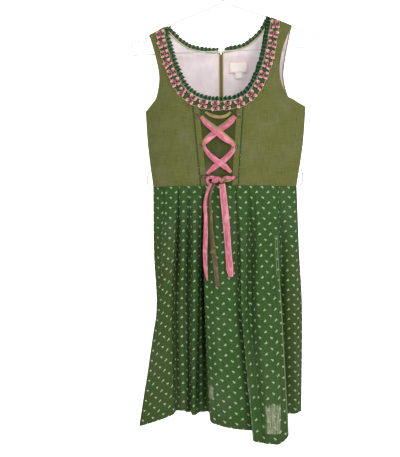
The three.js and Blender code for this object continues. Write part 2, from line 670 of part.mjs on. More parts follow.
/** Tapered base plate with a bridge over it; the bridge's hole carries the pull. */
function zipSlider() {
  const { width, tail, length, nose, noseIn, base, eyeR, holeR, bridge } = SLIDER;
  const plan = new THREE.Shape();
  plan.moveTo(-tail / 2, -length / 2);
  plan.lineTo(tail / 2, -length / 2);
  plan.lineTo(width / 2, length / 2 - nose);
  plan.lineTo(width / 2 - noseIn, length / 2);
  plan.lineTo(noseIn - width / 2, length / 2);
  plan.lineTo(-width / 2, length / 2 - nose);
  const plate = extruded(plan, { depth: base });
  plate.rotateX(Math.PI / 2);
  plate.translate(0, base, 0);
  const arch = new THREE.Shape();
  arch.moveTo(base / 2, -eyeR);
  arch.absarc(base + eyeR, 0, eyeR, -Math.PI / 2, Math.PI / 2, false);
  arch.lineTo(base / 2, eyeR);
  const hole = new THREE.Path();
  hole.absarc(base + eyeR, 0, holeR, 0, 2 * Math.PI, true);
  arch.holes.push(hole);
  const loop = extruded(arch, { depth: bridge, curveSegments: 8 });
  loop.translate(0, 0, -bridge / 2);
  const turned = new THREE.Matrix4().makeBasis(
    new THREE.Vector3(0, 1, 0),
    new THREE.Vector3(0, 0, 1),
    new THREE.Vector3(1, 0, 0),
  );
  loop.applyMatrix4(turned);
  return joined(plate, loop);
}

/** A tab that hangs from the bridge by the bar across its top. */
function zipPull() {
  const { bar, arm, width, length, corner, openingEnd, thickness } = PULL;
  const inside = width / 2 - arm;
  const outline = new THREE.Shape();
  outline.moveTo(-width / 2, bar);
  outline.lineTo(-width / 2, -length + corner);
  outline.lineTo(-width / 2 + corner, -length);
  outline.lineTo(width / 2 - corner, -length);
  outline.lineTo(width / 2, -length + corner);
  outline.lineTo(width / 2, bar);
  const opening = new THREE.Path();
  opening.moveTo(-inside, -bar);
  opening.lineTo(inside, -bar);
  opening.lineTo(inside, -openingEnd);
  opening.lineTo(-inside, -openingEnd);
  outline.holes.push(opening);
  const geometry = extruded(outline, { depth: thickness });
  geometry.translate(0, 0, -thickness / 2);
  geometry.rotateX(Math.PI / 2);
  return geometry;
}

// --- Neck trim ----------------------------------------------------------------------------------

/** A point beside a neck curve: positive distances go into the opening. */
function besideNeck(curve, t, distance) {
  const point = curve.getPointAt(t);
  const tangent = curve.getTangentAt(t);
  return { x: point.x - tangent.y * distance, z: point.y + tangent.x * distance };
}

function ruffle(place, curve, [from, to], backwards) {
  const length = curve.getLength() * (to - from);
  const waves = Math.round(length / RUFFLE.pitch);
  const pointAt = (u, v) => {
    const share = backwards ? 1 - u : u;
    const rise = lerp(RUFFLE.clear, RUFFLE.height, v);
    const { x, z } = besideNeck(curve, lerp(from, to, share), rise);
    const wave = RUFFLE.wave * lerp(RUFFLE.rootShare, 1, v) * Math.sin(2 * Math.PI * waves * share);
    return place(x, z, wave).point;
  };
  return wall(pointAt, waves * 4, 1, TRIM);
}

function trimBand() {
  const pointAt = (u, v) => {
    const distance = lerp(-2 * BAND.half, -GAP, v);
    const { x, z } = besideNeck(neckFront, lerp(BAND.from, BAND.to, u), distance);
    return onFront(x, z, BAND.lift + TRIM).point;
  };
  return wall(pointAt, 44, 2, TRIM);
}

/** Four rounded petals round a pinched middle. */
function bowOutline() {
  const { notchX, notchY, tipX, tipY, topX, topY, curlX, curlY } = BOW;
  const outline = new THREE.Shape();
  const curl = (x, y, endX, endY) => outline.quadraticCurveTo(x * curlX, y * curlY, endX, endY);
  outline.moveTo(notchX, 0);
  for (const side of [1, -1]) {
    outline.lineTo(side * tipX, side * tipY);
    curl(side, side, side * topX, side * topY);
    outline.lineTo(0, side * notchY);
    outline.lineTo(-side * topX, side * topY);
    curl(-side, side, -side * tipX, side * tipY);
    if (side > 0) outline.lineTo(-notchX, 0);
  }
  return outline;
}

function trimBow(index) {
  const share = lerp(BAND.from + BAND.bowMargin, BAND.to - BAND.bowMargin, (index + 0.5) / BAND.bows);
  const { x, z } = besideNeck(neckFront, share, -BAND.half);
  const { point, normal } = onFront(x, z, BAND.bowLift);
  const nearby = besideNeck(neckFront, share + 0.004, -BAND.half);
  const along = onFront(nearby.x, nearby.z, BAND.bowLift).point.sub(point).normalize();
  const across = normal.clone().cross(along).normalize();
  const basis = new THREE.Matrix4().makeBasis(along, across, normal);
  return { point, turn: new THREE.Quaternion().setFromRotationMatrix(basis) };
}

// --- Hooks and lacing -----------------------------------------------------------------------------

function hookGeometry() {
  const { halfWidth, halfHeight, slotX, slotHalfWidth, slotHalfHeight, thickness } = EYE;
  const plate = new THREE.Shape();
  plate.absellipse(0, 0, halfWidth, halfHeight, 0, 2 * Math.PI, false, 0);
  const slot = new THREE.Path();
  slot.absellipse(slotX, 0, slotHalfWidth, slotHalfHeight, 0, 2 * Math.PI, true, 0);
  plate.holes.push(slot);
  return extruded(plate, { depth: thickness, curveSegments: 5 });
}

function laceRibbon(route, width) {
  const path = new THREE.CatmullRomCurve3(route.map(([x, z, lift]) => new THREE.Vector3(x, z, lift)));
  const steps = route.length * 4;
  const stops = path.getPoints(steps).map(({ x, y, z }) => ({ ...onFront(x, y, z), width }));
  return ribbon(stops, TRIM);
}

function tailRibbon(route) {
  const path = new THREE.CatmullRomCurve3(route.map(([x, y, z]) => new THREE.Vector3(x, y, z)));
  const width = (t) => {
    const place = t * (route.length - 1);
    const i = Math.min(Math.floor(place), route.length - 2);
    return lerp(route[i][3], route[i + 1][3], place - i);
  };
  const steps = route.length * 3;
  const stops = path.getPoints(steps).map((point, i) => ({
    point,
    normal: new THREE.Vector3(0, -1, 0),
    width: width(i / steps),
  }));
  return ribbon(stops, TRIM);
}

/** The knot that gathers the ribbons over the waist seam. */
function knotGeometry() {
  const rings = [];
  const slices = 7;
  const sides = 8;
  for (let j = 0; j <= slices; j += 1) {
    const along = lerp(-KNOT.cap, KNOT.cap, j / slices);
    const girth = Math.sqrt(1 - along * along);
    const ring = [];
    for (let i = 0; i < sides; i += 1) {
      const angle = (2 * Math.PI * i) / sides;
      const y = KNOT.halfY * girth * Math.cos(angle);
      const z = KNOT.halfZ * girth * Math.sin(angle) + KNOT.slant * along;
      ring.push(new THREE.Vector3(KNOT.halfX * along, y, z));
    }
    rings.push(ring);
  }
  return loft(rings);
}

function threadLoop(points) {
  const route = points.map(([x, z]) => new THREE.Vector3(x, 0, z));
  return rod(route, THREAD_R, 3, 5);
}

// --- Assembly -------------------------------------------------------------------------------------

const FINISH = {
  wire: { color: 0xe9e8e4, roughness: 0.45, metalness: 0.2 },
  linen: { color: 0x6e7341, roughness: 0.9 },
  insert: { color: 0x55642d, roughness: 0.9 },
  piping: { color: 0x41552d, roughness: 0.85 },
  lining: { color: 0xe1d2d4, roughness: 0.9 },
  cotton: { color: 0x35573a, roughness: 0.85 },
  ruffle: { color: 0x2c5a3a, roughness: 0.85 },
  band: { color: 0x355f3c, roughness: 0.8 },
  pink: { color: 0xd7799a, roughness: 0.45 },
  petal: { color: 0xd9a09c, roughness: 0.5 },
  olive: { color: 0x967d3c, roughness: 0.5 },
  tape: { color: 0x877d46, roughness: 0.85 },
  hook: { color: 0x4a3a34, roughness: 0.45, metalness: 0.8 },
  zip: { color: 0x8d8a72, roughness: 0.4, metalness: 0.8 },
  thread: { color: 0x6b5138, roughness: 0.9 },
  label: { color: 0xe9e4da, roughness: 0.8 },
};

const dress = new THREE.Group();

function add(name, finish, geometry) {
  const mesh = new THREE.Mesh(geometry, new THREE.MeshStandardMaterial(FINISH[finish]));
  mesh.name = name;
  dress.add(mesh);
  return mesh;
}

add('hanger_arm_left', 'wire', hangerArm(-1, false));
add('hanger_arm_right_bar', 'wire', hangerArm(1, true));
add('hanger_hook', 'wire', hangerHook());

add('bodice_front_left', 'linen', frontPanel(-1));
add('bodice_front_right', 'linen', frontPanel(1));
add('front_insert', 'insert', frontInsert());
add('placket_left', 'linen', placket(-1));
add('placket_right', 'linen', placket(1));
add('piping_left', 'piping', piping(-1));
add('piping_right', 'piping', piping(1));
add('bodice_back_left', 'linen', backCloth(-1));
add('bodice_back_right', 'linen', backCloth(1));
add('lining_back_left', 'lining', backLining(-1));
add('lining_back_right', 'lining', backLining(1));
add('neck_label', 'label', label());

add('skirt_front', 'cotton', skirtPanel('side_left', 'side_right', 2, 9));
add('skirt_back_right', 'cotton', skirtPanel('side_right_back', 'centre_back', 2, 9));
add('skirt_back_left', 'cotton', skirtPanel('centre_back', 'side_left_back', 2, 9));

add('zip_tape', 'tape', zipTape());
placeOnZip(add('zip_slider', 'zip', zipSlider()), 0);
placeOnZip(add('zip_pull', 'zip', zipPull()), SLIDER.base + SLIDER.eyeR);

const neckBackLeft = spline2(NECK_BACK_LEFT);
const neckBackRight = spline2(NECK_BACK_RIGHT);
const { front, backLeft, backRight } = RUFFLE_SPANS;
add('neck_ruffle_front', 'ruffle', ruffle(onFront, neckFront, front, false));
add('neck_ruffle_back_left', 'ruffle', ruffle(onBack, neckBackLeft, backLeft, true));
add('neck_ruffle_back_right', 'ruffle', ruffle(onBack, neckBackRight, backRight, true));
add('trim_band', 'band', trimBand());

const bowShape = extruded(bowOutline(), { depth: BOW.height, curveSegments: 2 });
for (let i = 0; i < BAND.bows; i += 1) {
  const bow = add(`trim_bow_${String(i + 1).padStart(2, '0')}`, 'petal', bowShape);
  const { point, turn } = trimBow(i);
  bow.position.copy(point);
  bow.quaternion.copy(turn);
}

for (const { name, x, z, turn } of HOOKS) {
  const hook = add(name, 'hook', hookGeometry());
  const { point, normal } = onFront(x, z, TRIM + 2 * GAP);
  const right = new THREE.Vector3(Math.cos(turn), 0, 0);
  const up = normal.clone().cross(right).normalize();
  hook.position.copy(point);
  hook.quaternion.setFromRotationMatrix(new THREE.Matrix4().makeBasis(up.clone().cross(normal), up, normal));
}

add('lace_left', 'pink', laceRibbon(LACE_LEFT, LACE.width));
add('lace_right', 'pink', laceRibbon(LACE_RIGHT, LACE.width));
add('olive_loop', 'olive', laceRibbon(OLIVE_LOOP, LACE.loopWidth));
const knot = add('lace_knot', 'pink', knotGeometry());
knot.position.copy(onFront(KNOT.x, KNOT.z, KNOT.lift).point);
add('lace_tail_left', 'pink', tailRibbon(TAIL_PINK_LEFT));
add('lace_tail_right', 'pink', tailRibbon(TAIL_PINK_RIGHT));
add('lace_tail_olive', 'olive', tailRibbon(TAIL_OLIVE));

add('thread_loop_left', 'thread', threadLoop(THREAD_LOOPS.left));
add('thread_loop_right', 'thread', threadLoop(THREAD_LOOPS.right));

export default dress;
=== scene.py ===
"""A laced folk dress on a wire hanger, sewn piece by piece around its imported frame."""

import math

import bpy
import numpy as np
from mathutils import Matrix, Vector, noise


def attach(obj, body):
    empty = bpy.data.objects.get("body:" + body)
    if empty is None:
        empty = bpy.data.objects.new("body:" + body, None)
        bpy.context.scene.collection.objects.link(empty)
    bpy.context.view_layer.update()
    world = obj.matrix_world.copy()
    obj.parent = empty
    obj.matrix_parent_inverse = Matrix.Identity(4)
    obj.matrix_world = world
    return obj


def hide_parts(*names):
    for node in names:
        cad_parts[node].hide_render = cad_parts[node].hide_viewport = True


bl_info = {
    "name": "Laced Folk Dress",
    "version": (1, 0, 0),
    "blender": (4, 5, 0),
    "location": "View3D > Sidebar > Dress",
    "description": "Sews a laced folk dress, with its skirt folds, neck trim and lacing, on a hanger",
    "category": "Object",
}

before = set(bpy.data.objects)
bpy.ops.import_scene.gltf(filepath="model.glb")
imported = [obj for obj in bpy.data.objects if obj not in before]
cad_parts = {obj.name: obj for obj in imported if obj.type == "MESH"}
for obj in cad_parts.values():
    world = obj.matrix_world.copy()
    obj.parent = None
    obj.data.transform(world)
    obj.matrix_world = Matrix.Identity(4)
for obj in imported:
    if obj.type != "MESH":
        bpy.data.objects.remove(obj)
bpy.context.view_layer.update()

# Lengths are millimetres until a mesh is made. The front faces -Y and +X is to the right.
MM = 0.001

# --- The cut of the dress, as in the solid model --------------------------------------------------

GAP = 0.3
WRAP = 4.2
SEAM_HALF = 1.6
CENTRE_X = -5.0
LEAN = 0.0244
WAIST_Z = -501.5
BACK_HEM_Z = -1018.0
LENS = 2.6
SHOULDER_ROWS = 1.7
UNDERARM_SHARE = 0.45
BACK_SHARE = 0.62
HOOK = {"radius": 21.3, "apex": -88.0, "from_turn": -0.18, "to_turn": 1.045}
ARM = {"slope": 0.33, "bow": 0.00047, "start": 4.0, "stride": 28.0, "reach": 172.0}
ARM_END = [(182, -169.5), (195, -164.8), (205, -170), (208, -181)]
BAR = [(208, -190), (202, -196.6), (184, -196.6), (-184, -196.6), (-205, -196.6)]
ARM_STOP = (208, -193)
SHANK = [(15.5, -32.5), (3, -58), (0, -66), (0, -84)]
ZIP_TOP = -197.0
ZIP_END = -600.0
ZIP_INSIDE = 2.4

SIDES = [
    (-520, -156, 164), (-503, -157, 165), (-452, -164, 173), (-400, -170, 180),
    (-328, -175, 185), (-250, -183, 190), (-110, -188, 192),
]
FULLNESS = [
    (0, 0, 0), (20, 5, 3), (60, 24, 14), (120, 47, 28), (190, 62, 37),
    (240, 64, 38), (300, 58, 37), (360, 49, 36), (440, 43, 36),
]
ARMHOLES = {
    "front_left": [(-175, -332), (-159, -317), (-146, -301), (-139.5, -258), (-150, -208), (-166, -156)],
    "front_right": [(185, -325), (158, -312), (141, -301), (127, -258), (133, -201), (154, -143)],
    "back_left": [(-175, -332), (-158, -318), (-144, -300), (-137.5, -258), (-149, -208), (-166, -156)],
    "back_right": [(185, -325), (163, -314), (148, -301), (136.5, -255), (141, -208), (154, -143)],
}
NECK_FRONT = [
    (-131, -138.5), (-127, -165), (-116, -204), (-97, -253), (-74, -293), (-37, -316),
    (8, -320), (50, -309), (76, -273), (94, -219), (104, -160), (109, -123.5),
]
NECK_BACK_LEFT = [(-131, -138.5), (-115, -156), (-96, -173), (-74, -185), (-43, -191), (-5, -193)]
NECK_BACK_RIGHT = [(-5, -193), (43, -185), (69, -172), (90, -152), (109, -123.5)]
PIPING = {"left": (-46, -59), "right": (38, 48)}  # x at the waist and at the top
PIPING_TOP_Z = -352.0
LOOSE_STITCHES = {"left": (20, 38), "right": (29, 38, 56, 65)}  # heights above the waist

HIP_SHARE = 0.28
KNEE_SHARE = 0.53
SKIRT_DROP = 520.0
COLUMNS_A_FOLD = 14
SIDE_OVERLAP, BACK_OVERLAP = 0.47, -0.001  # how far a width goes past its last fold at a seam, in folds
# Fold lines round the hem: x at the waist, then (x, y) at the hip and the knee and (x, y, z) at the hem.
SKIRT_FOLDS = [
    ("side_left", -157, (-156, 0), (-152, 12), (-175, 26, -1026)),
    ("valley_left", -130, (-138, -14), (-139, -5), (-165, 8, -1030)),
    ("panel_a_edge", -121, (-124, -40), (-146, -27), (-188, -8, -1042)),
    ("panel_a_right", -102, (-105, -43), (-113, -41), (-110, -20, -1012)),
    ("valley_a", -95, (-100, -16), (-105, -19), (-103, -1, -1007)),
    ("ridge_b", -83, (-84, -36), (-88, -31), (-86, -8, -1006)),
    ("valley_b", -73, (-74, -20), (-75, -14), (-74, 10, -1013)),
    ("ridge_c", -57, (-56, -46), (-58, -41), (-62, -14, -1014)),
    ("slope_c", -47, (-47, -34), (-50, -23), (-52, 4, -1011)),
    ("valley_c", -39, (-41, -8), (-40, 5), (-34, 16, -1012)),
    ("centre_left", -31, (-31, -53), (-27, -64), (-11, -76, -1015)),
    ("centre_mid", 2, (5, -62), (8, -76), (28, -89, -1020)),
    ("valley_d", 31, (36, -47), (44, -60), (82, -80, -1028)),
    ("front_left_edge", 42, (47, -60), (48, -79), (71, -104, -1040)),
    ("valley_e", 62, (64, -40), (65, -63), (91, -101, -1045)),
    ("front_mid", 79, (85, -62), (92, -83), (109, -111, -1044)),
    ("crease_f", 97, (106, -51), (115, -73), (125, -107, -1045)),
    ("knife_edge", 119, (123, -48), (131, -67), (144, -98, -1030)),
    ("valley_g", 127, (131, -16), (128, -8), (133, 12, -1012)),
    ("ridge_h", 147, (155, -21), (160, -16), (163, 10, -1011)),
    ("side_right", 165, (171, 2), (178, 12), (177, 30, -1009)),
    ("side_right_back", 165, (171, 3.5), (178, 13.4), (177, 31.4, -1009)),
    ("back_valley_1", 146, (156, 20), (161, 32), (163, 50, -1012)),
    ("back_ridge_1", 126, (132, 38), (137, 52), (141, 74, -1016)),
    ("back_valley_2", 110, (113, 26), (117, 32), (122, 47, -1015)),
    ("back_ridge_2", 90, (91, 50), (94, 65), (99, 88, -1019)),
    ("back_valley_3", 70, (73, 34), (77, 44), (82, 63, -1018)),
    ("back_ridge_3", 49, (50, 56), (52, 72), (56, 96, -1021)),
    ("back_valley_4", 29, (31, 39), (34, 50), (40, 72, -1018)),
    ("back_ridge_4", 13, (13, 51), (14, 67), (17, 90, -1020)),
    ("centre_back", -5, (-5, 45), (-5, 57), (-5, 79, -1018)),
    ("back_ridge_5", -23, (-22, 53), (-22, 70), (-26, 94, -1021)),
    ("back_valley_5", -40, (-41, 37), (-43, 47), (-48, 67, -1019)),
    ("back_ridge_6", -60, (-62, 53), (-65, 69), (-71, 91, -1022)),
    ("back_valley_6", -79, (-81, 32), (-85, 39), (-92, 59, -1019)),
    ("back_ridge_7", -98, (-102, 45), (-107, 58), (-114, 81, -1023)),
    ("back_valley_7", -114, (-119, 22), (-123, 28), (-133, 47, -1021)),
    ("back_ridge_8", -130, (-137, 30), (-141, 41), (-156, 61, -1027)),
    ("side_left_back", -157, (-156, 1.5), (-152, 13), (-175, 27, -1026)),
]
FOLD_NAMES = [fold[0] for fold in SKIRT_FOLDS]

HOOKS = [
    ("left_top", -49, -352, 1), ("left_middle", -42, -416, 1), ("left_bottom", -38, -482, 1),
    ("right_top", 38, -353, -1), ("right_middle", 33, -419, -1), ("right_bottom", 29, -482, -1),
]
# Lacing: x, z, height above the cloth and width.
LACE_LEFT = [
    (-43, -354, 3.4, 5), (-33, -366, 4.5, 9.5), (-12, -383, 5.8, 13), (10, -401, 4.8, 13),
    (27, -415, 3.4, 6), (24, -428, 3.4, 11), (8, -445, 3.6, 12), (-14, -461, 3.2, 12.5),
    (-31, -476, 3.4, 8),
]
LACE_RIGHT = [
    (32, -354, 3.4, 6), (22, -365, 4.0, 12.5), (-9, -387, 2.8, 12), (-30, -404, 3.0, 11),
    (-36, -413, 3.4, 5), (-29, -429, 3.6, 8.5), (-12, -446, 5.4, 12.5), (6, -458, 5.6, 13),
    (22, -473, 3.4, 7),
]
OLIVE_LOOP = [
    (-33, -344, 2.4, 5), (-18, -352, 5.5, 7), (-3, -355, 8, 7.5), (12, -352.5, 5.5, 7),
    (22, -344.5, 2.4, 5),
]
# Free ends: x, distance in front of the hanger, z and width.
TAIL_PINK_LEFT = [
    (-21, -61, -498, 6), (-30, -63, -520, 6.5), (-33.5, -65, -546, 8), (-32, -66, -575, 7.5),
    (-32.5, -67, -610, 9.5), (-33.5, -68, -644, 10), (-32.5, -69, -681, 9.5), (-28.5, -70, -708, 3),
]
TAIL_PINK_RIGHT = [
    (3, -62, -499, 13), (7, -65, -532, 14.5), (10.5, -68, -565, 14.5), (15.5, -72, -627, 14.5),
    (20.5, -76, -683, 15), (23, -77, -699, 9),
]
TAIL_OLIVE = [
    (-13, -61, -499, 5), (-22, -63.5, -520, 5.5), (-21, -66, -572, 7), (-18, -69, -620, 10),
    (-11, -73, -674, 10.5), (-5.5, -76, -720, 9),
]
KNOT = {"x": -6.0, "z": -489.0, "lift": 7.4}
KNOT_LOOPS = [
    ([(-9, -3, -487), (-18, -7, -483.5), (-27, -6, -484.5), (-30, -3, -490), (-26, -1, -499)], 7, "pink"),
    ([(4, -3, -487), (14, -6, -484.5), (24, -4, -486), (29, -1, -482)], 7.5, "pink"),
    ([(6, -3, -492), (15, -6, -491), (23, -4, -488)], 6, "olive"),
]
THREAD_LOOPS = {
    "left": [(-165.5, -463), (-170, -476), (-170.5, -492), (-160.5, -507)],
    "right": [(174, -460), (178.5, -474), (177.5, -492), (168.5, -506)],
}
LABEL = {"left": 14.0, "right": 56.0, "top": -213.0, "bottom": -239.0}
BAND_FROM, BAND_TO, BAND_HALF, BOW_MARGIN = 0.018, 0.982, 10.5, -0.006
BOW_COUNT = 20

# Widths and lengths that sheets were cut to, and the area in cm2 of a panel that isn't a rectangle.
CUTS = {
    "linen_front_left": (190, 410, 330), "linen_front_right": (190, 410, 375),
    "linen_back_left": (200, 410, 520), "linen_back_right": (200, 410, 580),
    "insert_panel": (110, 190, 185), "plain_label": (42, 40, 13.6),
    "placket_strip_left": (13.5, 155, None), "placket_strip_right": (13.5, 155, None),
    "back_lining_left": (200, 400, 490), "back_lining_right": (200, 400, 550),
    "zip_tape_woven": (10.4, 405, None), "tied_knot": (12, 190, None),
}
SKIRT_CUT, RUFFLE_CUT = 545, 10.5
BOW_CUT = (60, 10.5)
PINK_WIDTH, OLIVE_WIDTH, LOOP_WIDTH = 12, 11, 10.2
TOP_HOOKS = ("lacing_hook_left_top", "lacing_hook_right_top")

# Creases of the skirt: fold place and share of the drop at both ends, width and height.
# A place counts the fold lines round the hem, and a negative height is a furrow.
SKIRT_CREASES = [
    (0.5, 0.05, 0.8, 0.55, 0.10, 1.6), (1.4, 0.25, 1.6, 0.95, 0.12, -1.4),
    (2.35, 0.0, 2.25, 0.7, 0.07, 1.5), (2.6, 0.15, 2.75, 0.9, 0.08, -1.2),
    (2.85, 0.4, 2.55, 1.0, 0.10, 1.3), (3.35, 0.02, 3.3, 0.4, 0.12, -1.1),
    (5.1, 0.1, 4.9, 0.7, 0.14, 1.4), (5.45, 0.35, 5.3, 1.0, 0.10, -1.3),
    (6.6, 0.0, 6.75, 0.5, 0.12, 1.5), (7.2, 0.45, 7.0, 1.0, 0.12, -1.5),
    (7.6, 0.1, 7.5, 0.75, 0.10, 1.0), (8.3, 0.5, 8.5, 1.0, 0.14, 1.5),
    (10.25, 0.0, 10.2, 0.45, 0.05, -1.3), (10.55, 0.1, 10.45, 0.8, 0.07, 1.2),
    (10.8, 0.5, 10.7, 1.0, 0.06, -1.0), (11.25, 0.05, 11.3, 0.6, 0.08, -1.2),
    (11.6, 0.35, 11.5, 0.95, 0.09, 1.3), (13.3, 0.02, 13.5, 0.4, 0.10, 1.3),
    (13.5, 0.45, 13.35, 1.0, 0.12, -1.2), (14.5, 0.0, 14.4, 0.35, 0.10, -1.6),
    (14.6, 0.4, 14.8, 0.95, 0.10, 1.2), (15.4, 0.2, 15.3, 0.75, 0.10, -1.1),
    (15.7, 0.5, 15.6, 1.0, 0.08, 1.0), (16.35, 0.05, 16.5, 0.6, 0.09, 1.4),
    (16.7, 0.45, 16.6, 1.0, 0.07, -1.2), (18.6, 0.1, 18.5, 0.6, 0.12, 1.3),
    (19.3, 0.35, 19.4, 1.0, 0.12, -1.4), (22.4, 0.05, 22.5, 0.6, 0.14, 1.4),
    (23.4, 0.3, 23.3, 1.0, 0.12, -1.3), (24.6, 0.0, 24.5, 0.5, 0.12, 1.5),
    (25.3, 0.25, 25.2, 0.9, 0.10, -1.2), (26.5, 0.1, 26.65, 0.75, 0.14, 1.4),
    (27.25, 0.4, 27.2, 1.0, 0.10, -1.1), (28.4, 0.0, 28.6, 0.45, 0.12, 1.4),
    (29.4, 0.5, 29.3, 1.0, 0.12, -1.2), (30.5, 0.2, 30.6, 0.8, 0.12, 1.1),
    (31.3, 0.0, 31.4, 0.4, 0.12, -1.3), (32.5, 0.35, 32.4, 1.0, 0.14, 1.5),
    (33.3, 0.05, 33.2, 0.6, 0.10, -1.2), (34.5, 0.15, 34.6, 0.7, 0.14, 1.3),
    (35.3, 0.4, 35.3, 1.0, 0.12, -1.4), (36.5, 0.0, 36.4, 0.5, 0.14, 1.5),
    (37.4, 0.3, 37.5, 0.95, 0.14, 1.2),
]
# Creases of the bodice: x and z at both ends, width and height.
FRONT_CREASES = [
    (-172, -335, -138, -352, 7, -1.2), (-168, -350, -120, -372, 9, 1.0), (-150, -300, -128, -330, 8, -1.0),
    (-160, -420, -120, -436, 8, -0.9), (-158, -455, -105, -470, 7, 0.9), (-140, -486, -112, -400, 6, -0.8),
    (-100, -495, -92, -430, 5, 0.9), (-84, -380, -72, -498, 6, -0.7), (-120, -210, -132, -275, 7, 0.9),
    (-152, -170, -128, -190, 6, -0.9), (180, -330, 140, -350, 8, -1.2), (176, -352, 128, -376, 9, 1.0),
    (150, -302, 122, -330, 7, -0.9), (168, -430, 118, -446, 8, -0.9), (164, -462, 100, -478, 7, 0.9),
    (128, -498, 120, -420, 5, -0.9), (96, -498, 88, -440, 5, 0.8), (74, -400, 66, -496, 6, -0.7),
    (112, -215, 120, -270, 6, 0.8), (140, -160, 122, -176, 6, -0.9), (-30, -420, -24, -495, 4, 0.6),
    (18, -400, 14, -470, 4, -0.6),
]
BACK_CREASES = [
    (-170, -340, -120, -362, 9, 1.2), (-160, -390, -110, -400, 8, -1.0), (-150, -430, -80, -442, 7, 1.1),
    (-120, -470, -40, -480, 6, -0.9), (-90, -300, -60, -380, 10, 0.9), (-30, -240, -24, -330, 7, -0.8),
    (174, -336, 130, -360, 9, 1.2), (166, -384, 112, -402, 8, -1.0), (150, -436, 84, -450, 7, 1.0),
    (110, -474, 40, -484, 6, -1.0), (86, -290, 62, -370, 10, 0.9), (24, -250, 20, -340, 7, -0.8),
    (-130, -200, -120, -260, 7, 0.8), (128, -190, 118, -250, 7, -0.8),
]


# --- Curves and surfaces --------------------------------------------------------------------------


def smoothstep(value, low, high):
    """0 below low, 1 above high, and smooth between them."""
    share = np.clip((np.asarray(value, float) - low) / (high - low), 0, 1)
    return share * share * (3 - 2 * share)


def hermite(share, first, second, slope_first, slope_second):
    """A curve between two points with a given slope at each."""
    square, cube = share * share, share * share * share
    return (
        (2 * cube - 3 * square + 1) * first + (cube - 2 * square + share) * slope_first
        + (3 * square - 2 * cube) * second + (cube - square) * slope_second
    )


def column(table, key):
    """Reads one column of a table at any value of its first column, as a smooth curve."""
    rows = sorted(table, key=lambda row: row[0])
    at = np.array([row[0] for row in rows], float)
    to = np.array([row[key] for row in rows], float)
    before, after = np.maximum(np.arange(len(at)) - 1, 0), np.minimum(np.arange(len(at)) + 1, len(at) - 1)
    slope = (to[after] - to[before]) / (at[after] - at[before])

    def read(value):
        value = np.asarray(value, float)
        i = np.clip(np.searchsorted(at, value, side="right") - 1, 0, len(at) - 2)
        span = at[i + 1] - at[i]
        share = np.clip((value - at[i]) / span, 0, 1)
        return hermite(share, to[i], to[i + 1], span * slope[i], span * slope[i + 1])

    return read


def even_line(points, steps=60):
    """A smooth line in the plane through evenly weighted points, sampled closely."""
    p = np.array(points, float)
    padded = np.vstack([p[:1], p, p[-1:]])
    share = np.linspace(0, 1, steps, endpoint=False)[:, None]
    slope = (padded[2:] - padded[:-2]) / 2
    parts = [hermite(share, p[i], p[i + 1], slope[i], slope[i + 1]) for i in range(len(p) - 1)]
    return np.vstack(parts + [p[-1:]])


def spaced_hermite(share, p0, p1, p2, p3):
    """One stretch of a curve through points whose spacing sets its speed."""
    gaps = (p1 - p0, p2 - p1, p3 - p2)
    d0, d1, d2 = (np.maximum(np.linalg.norm(gap, axis=-1, keepdims=True), 1e-6) ** 0.5 for gap in gaps)
    t1 = ((p1 - p0) / d0 - (p2 - p0) / (d0 + d1) + (p2 - p1) / d1) * d1
    t2 = ((p2 - p1) / d1 - (p3 - p1) / (d1 + d2) + (p3 - p2) / d2) * d1
    return hermite(share, p1, p2, t1, t2)


def open_curve(points, steps=24):
    """A smooth curve in space through points, sampled closely."""
    p = np.array(points, float)
    padded = np.vstack([2 * p[:1] - p[1:2], p, 2 * p[-1:] - p[-2:-1]])
    share = np.linspace(0, 1, steps, endpoint=False)[:, None]
    parts = [spaced_hermite(share, *padded[i : i + 4, None].repeat(len(share), 1)) for i in range(len(p) - 1)]
    return np.vstack(parts + [p[-1:]])


def run_length(line):
    """How far along a sampled line each of its points is."""
    return np.concatenate([[0], np.cumsum(np.linalg.norm(np.diff(line, axis=0), axis=1))])


def along(line, share):
    """Points at given shares of a sampled line's length."""
    run = run_length(line)
    at = np.asarray(share, float) * run[-1]
    return np.stack([np.interp(at, run, line[:, k]) for k in range(line.shape[1])], -1)


def share_at_x(line, x):
    """The share of a sampled line at which it reaches x."""
    run = run_length(line)
    return float(np.interp(x, line[:, 0], run / run[-1]))


def beside(line, share, distance):
    """Points beside a line in the plane: positive distances go into the opening."""
    share = np.asarray(share, float)
    step = 1e-3
    low, high = np.clip(share - step, 0, 1), np.clip(share + step, 0, 1)
    tangent = along(line, high) - along(line, low)
    tangent /= np.linalg.norm(tangent, axis=-1, keepdims=True)
    point = along(line, share)
    distance = np.asarray(distance, float)
    x = point[..., 0] - tangent[..., 1] * distance
    return np.stack([x, point[..., 1] + tangent[..., 0] * distance], -1)


side_left, side_right = column(SIDES, 1), column(SIDES, 2)
front_fullness, back_fullness = column(FULLNESS, 1), column(FULLNESS, 2)
neck_front = even_line(NECK_FRONT)
neck_back_left = even_line(NECK_BACK_LEFT)
neck_back_right = even_line(NECK_BACK_RIGHT)


def arm_height(x):
    """Height of the middle of the hanger wire over x."""
    return HOOK["apex"] - ARM["slope"] * np.abs(x) - ARM["bow"] * x * x + LEAN * x


def depth(fullness, x, z):
    """How far the front or back stands out from the plane of the hanger."""
    drop = np.maximum(arm_height(x) + WRAP - z, 0)
    over = 1 - np.minimum(drop, WRAP) / WRAP
    wrap = WRAP * np.sqrt(np.maximum(1 - over * over, 0))
    wrap = wrap + (SEAM_HALF - wrap) * smoothstep(drop, 20, 150)
    reach = np.where(x < CENTRE_X, CENTRE_X - side_left(z), side_right(z) - CENTRE_X)
    share = np.clip(np.abs(x - CENTRE_X) / reach, 0, 1)
    return wrap + fullness(drop) * (1 - share**LENS)


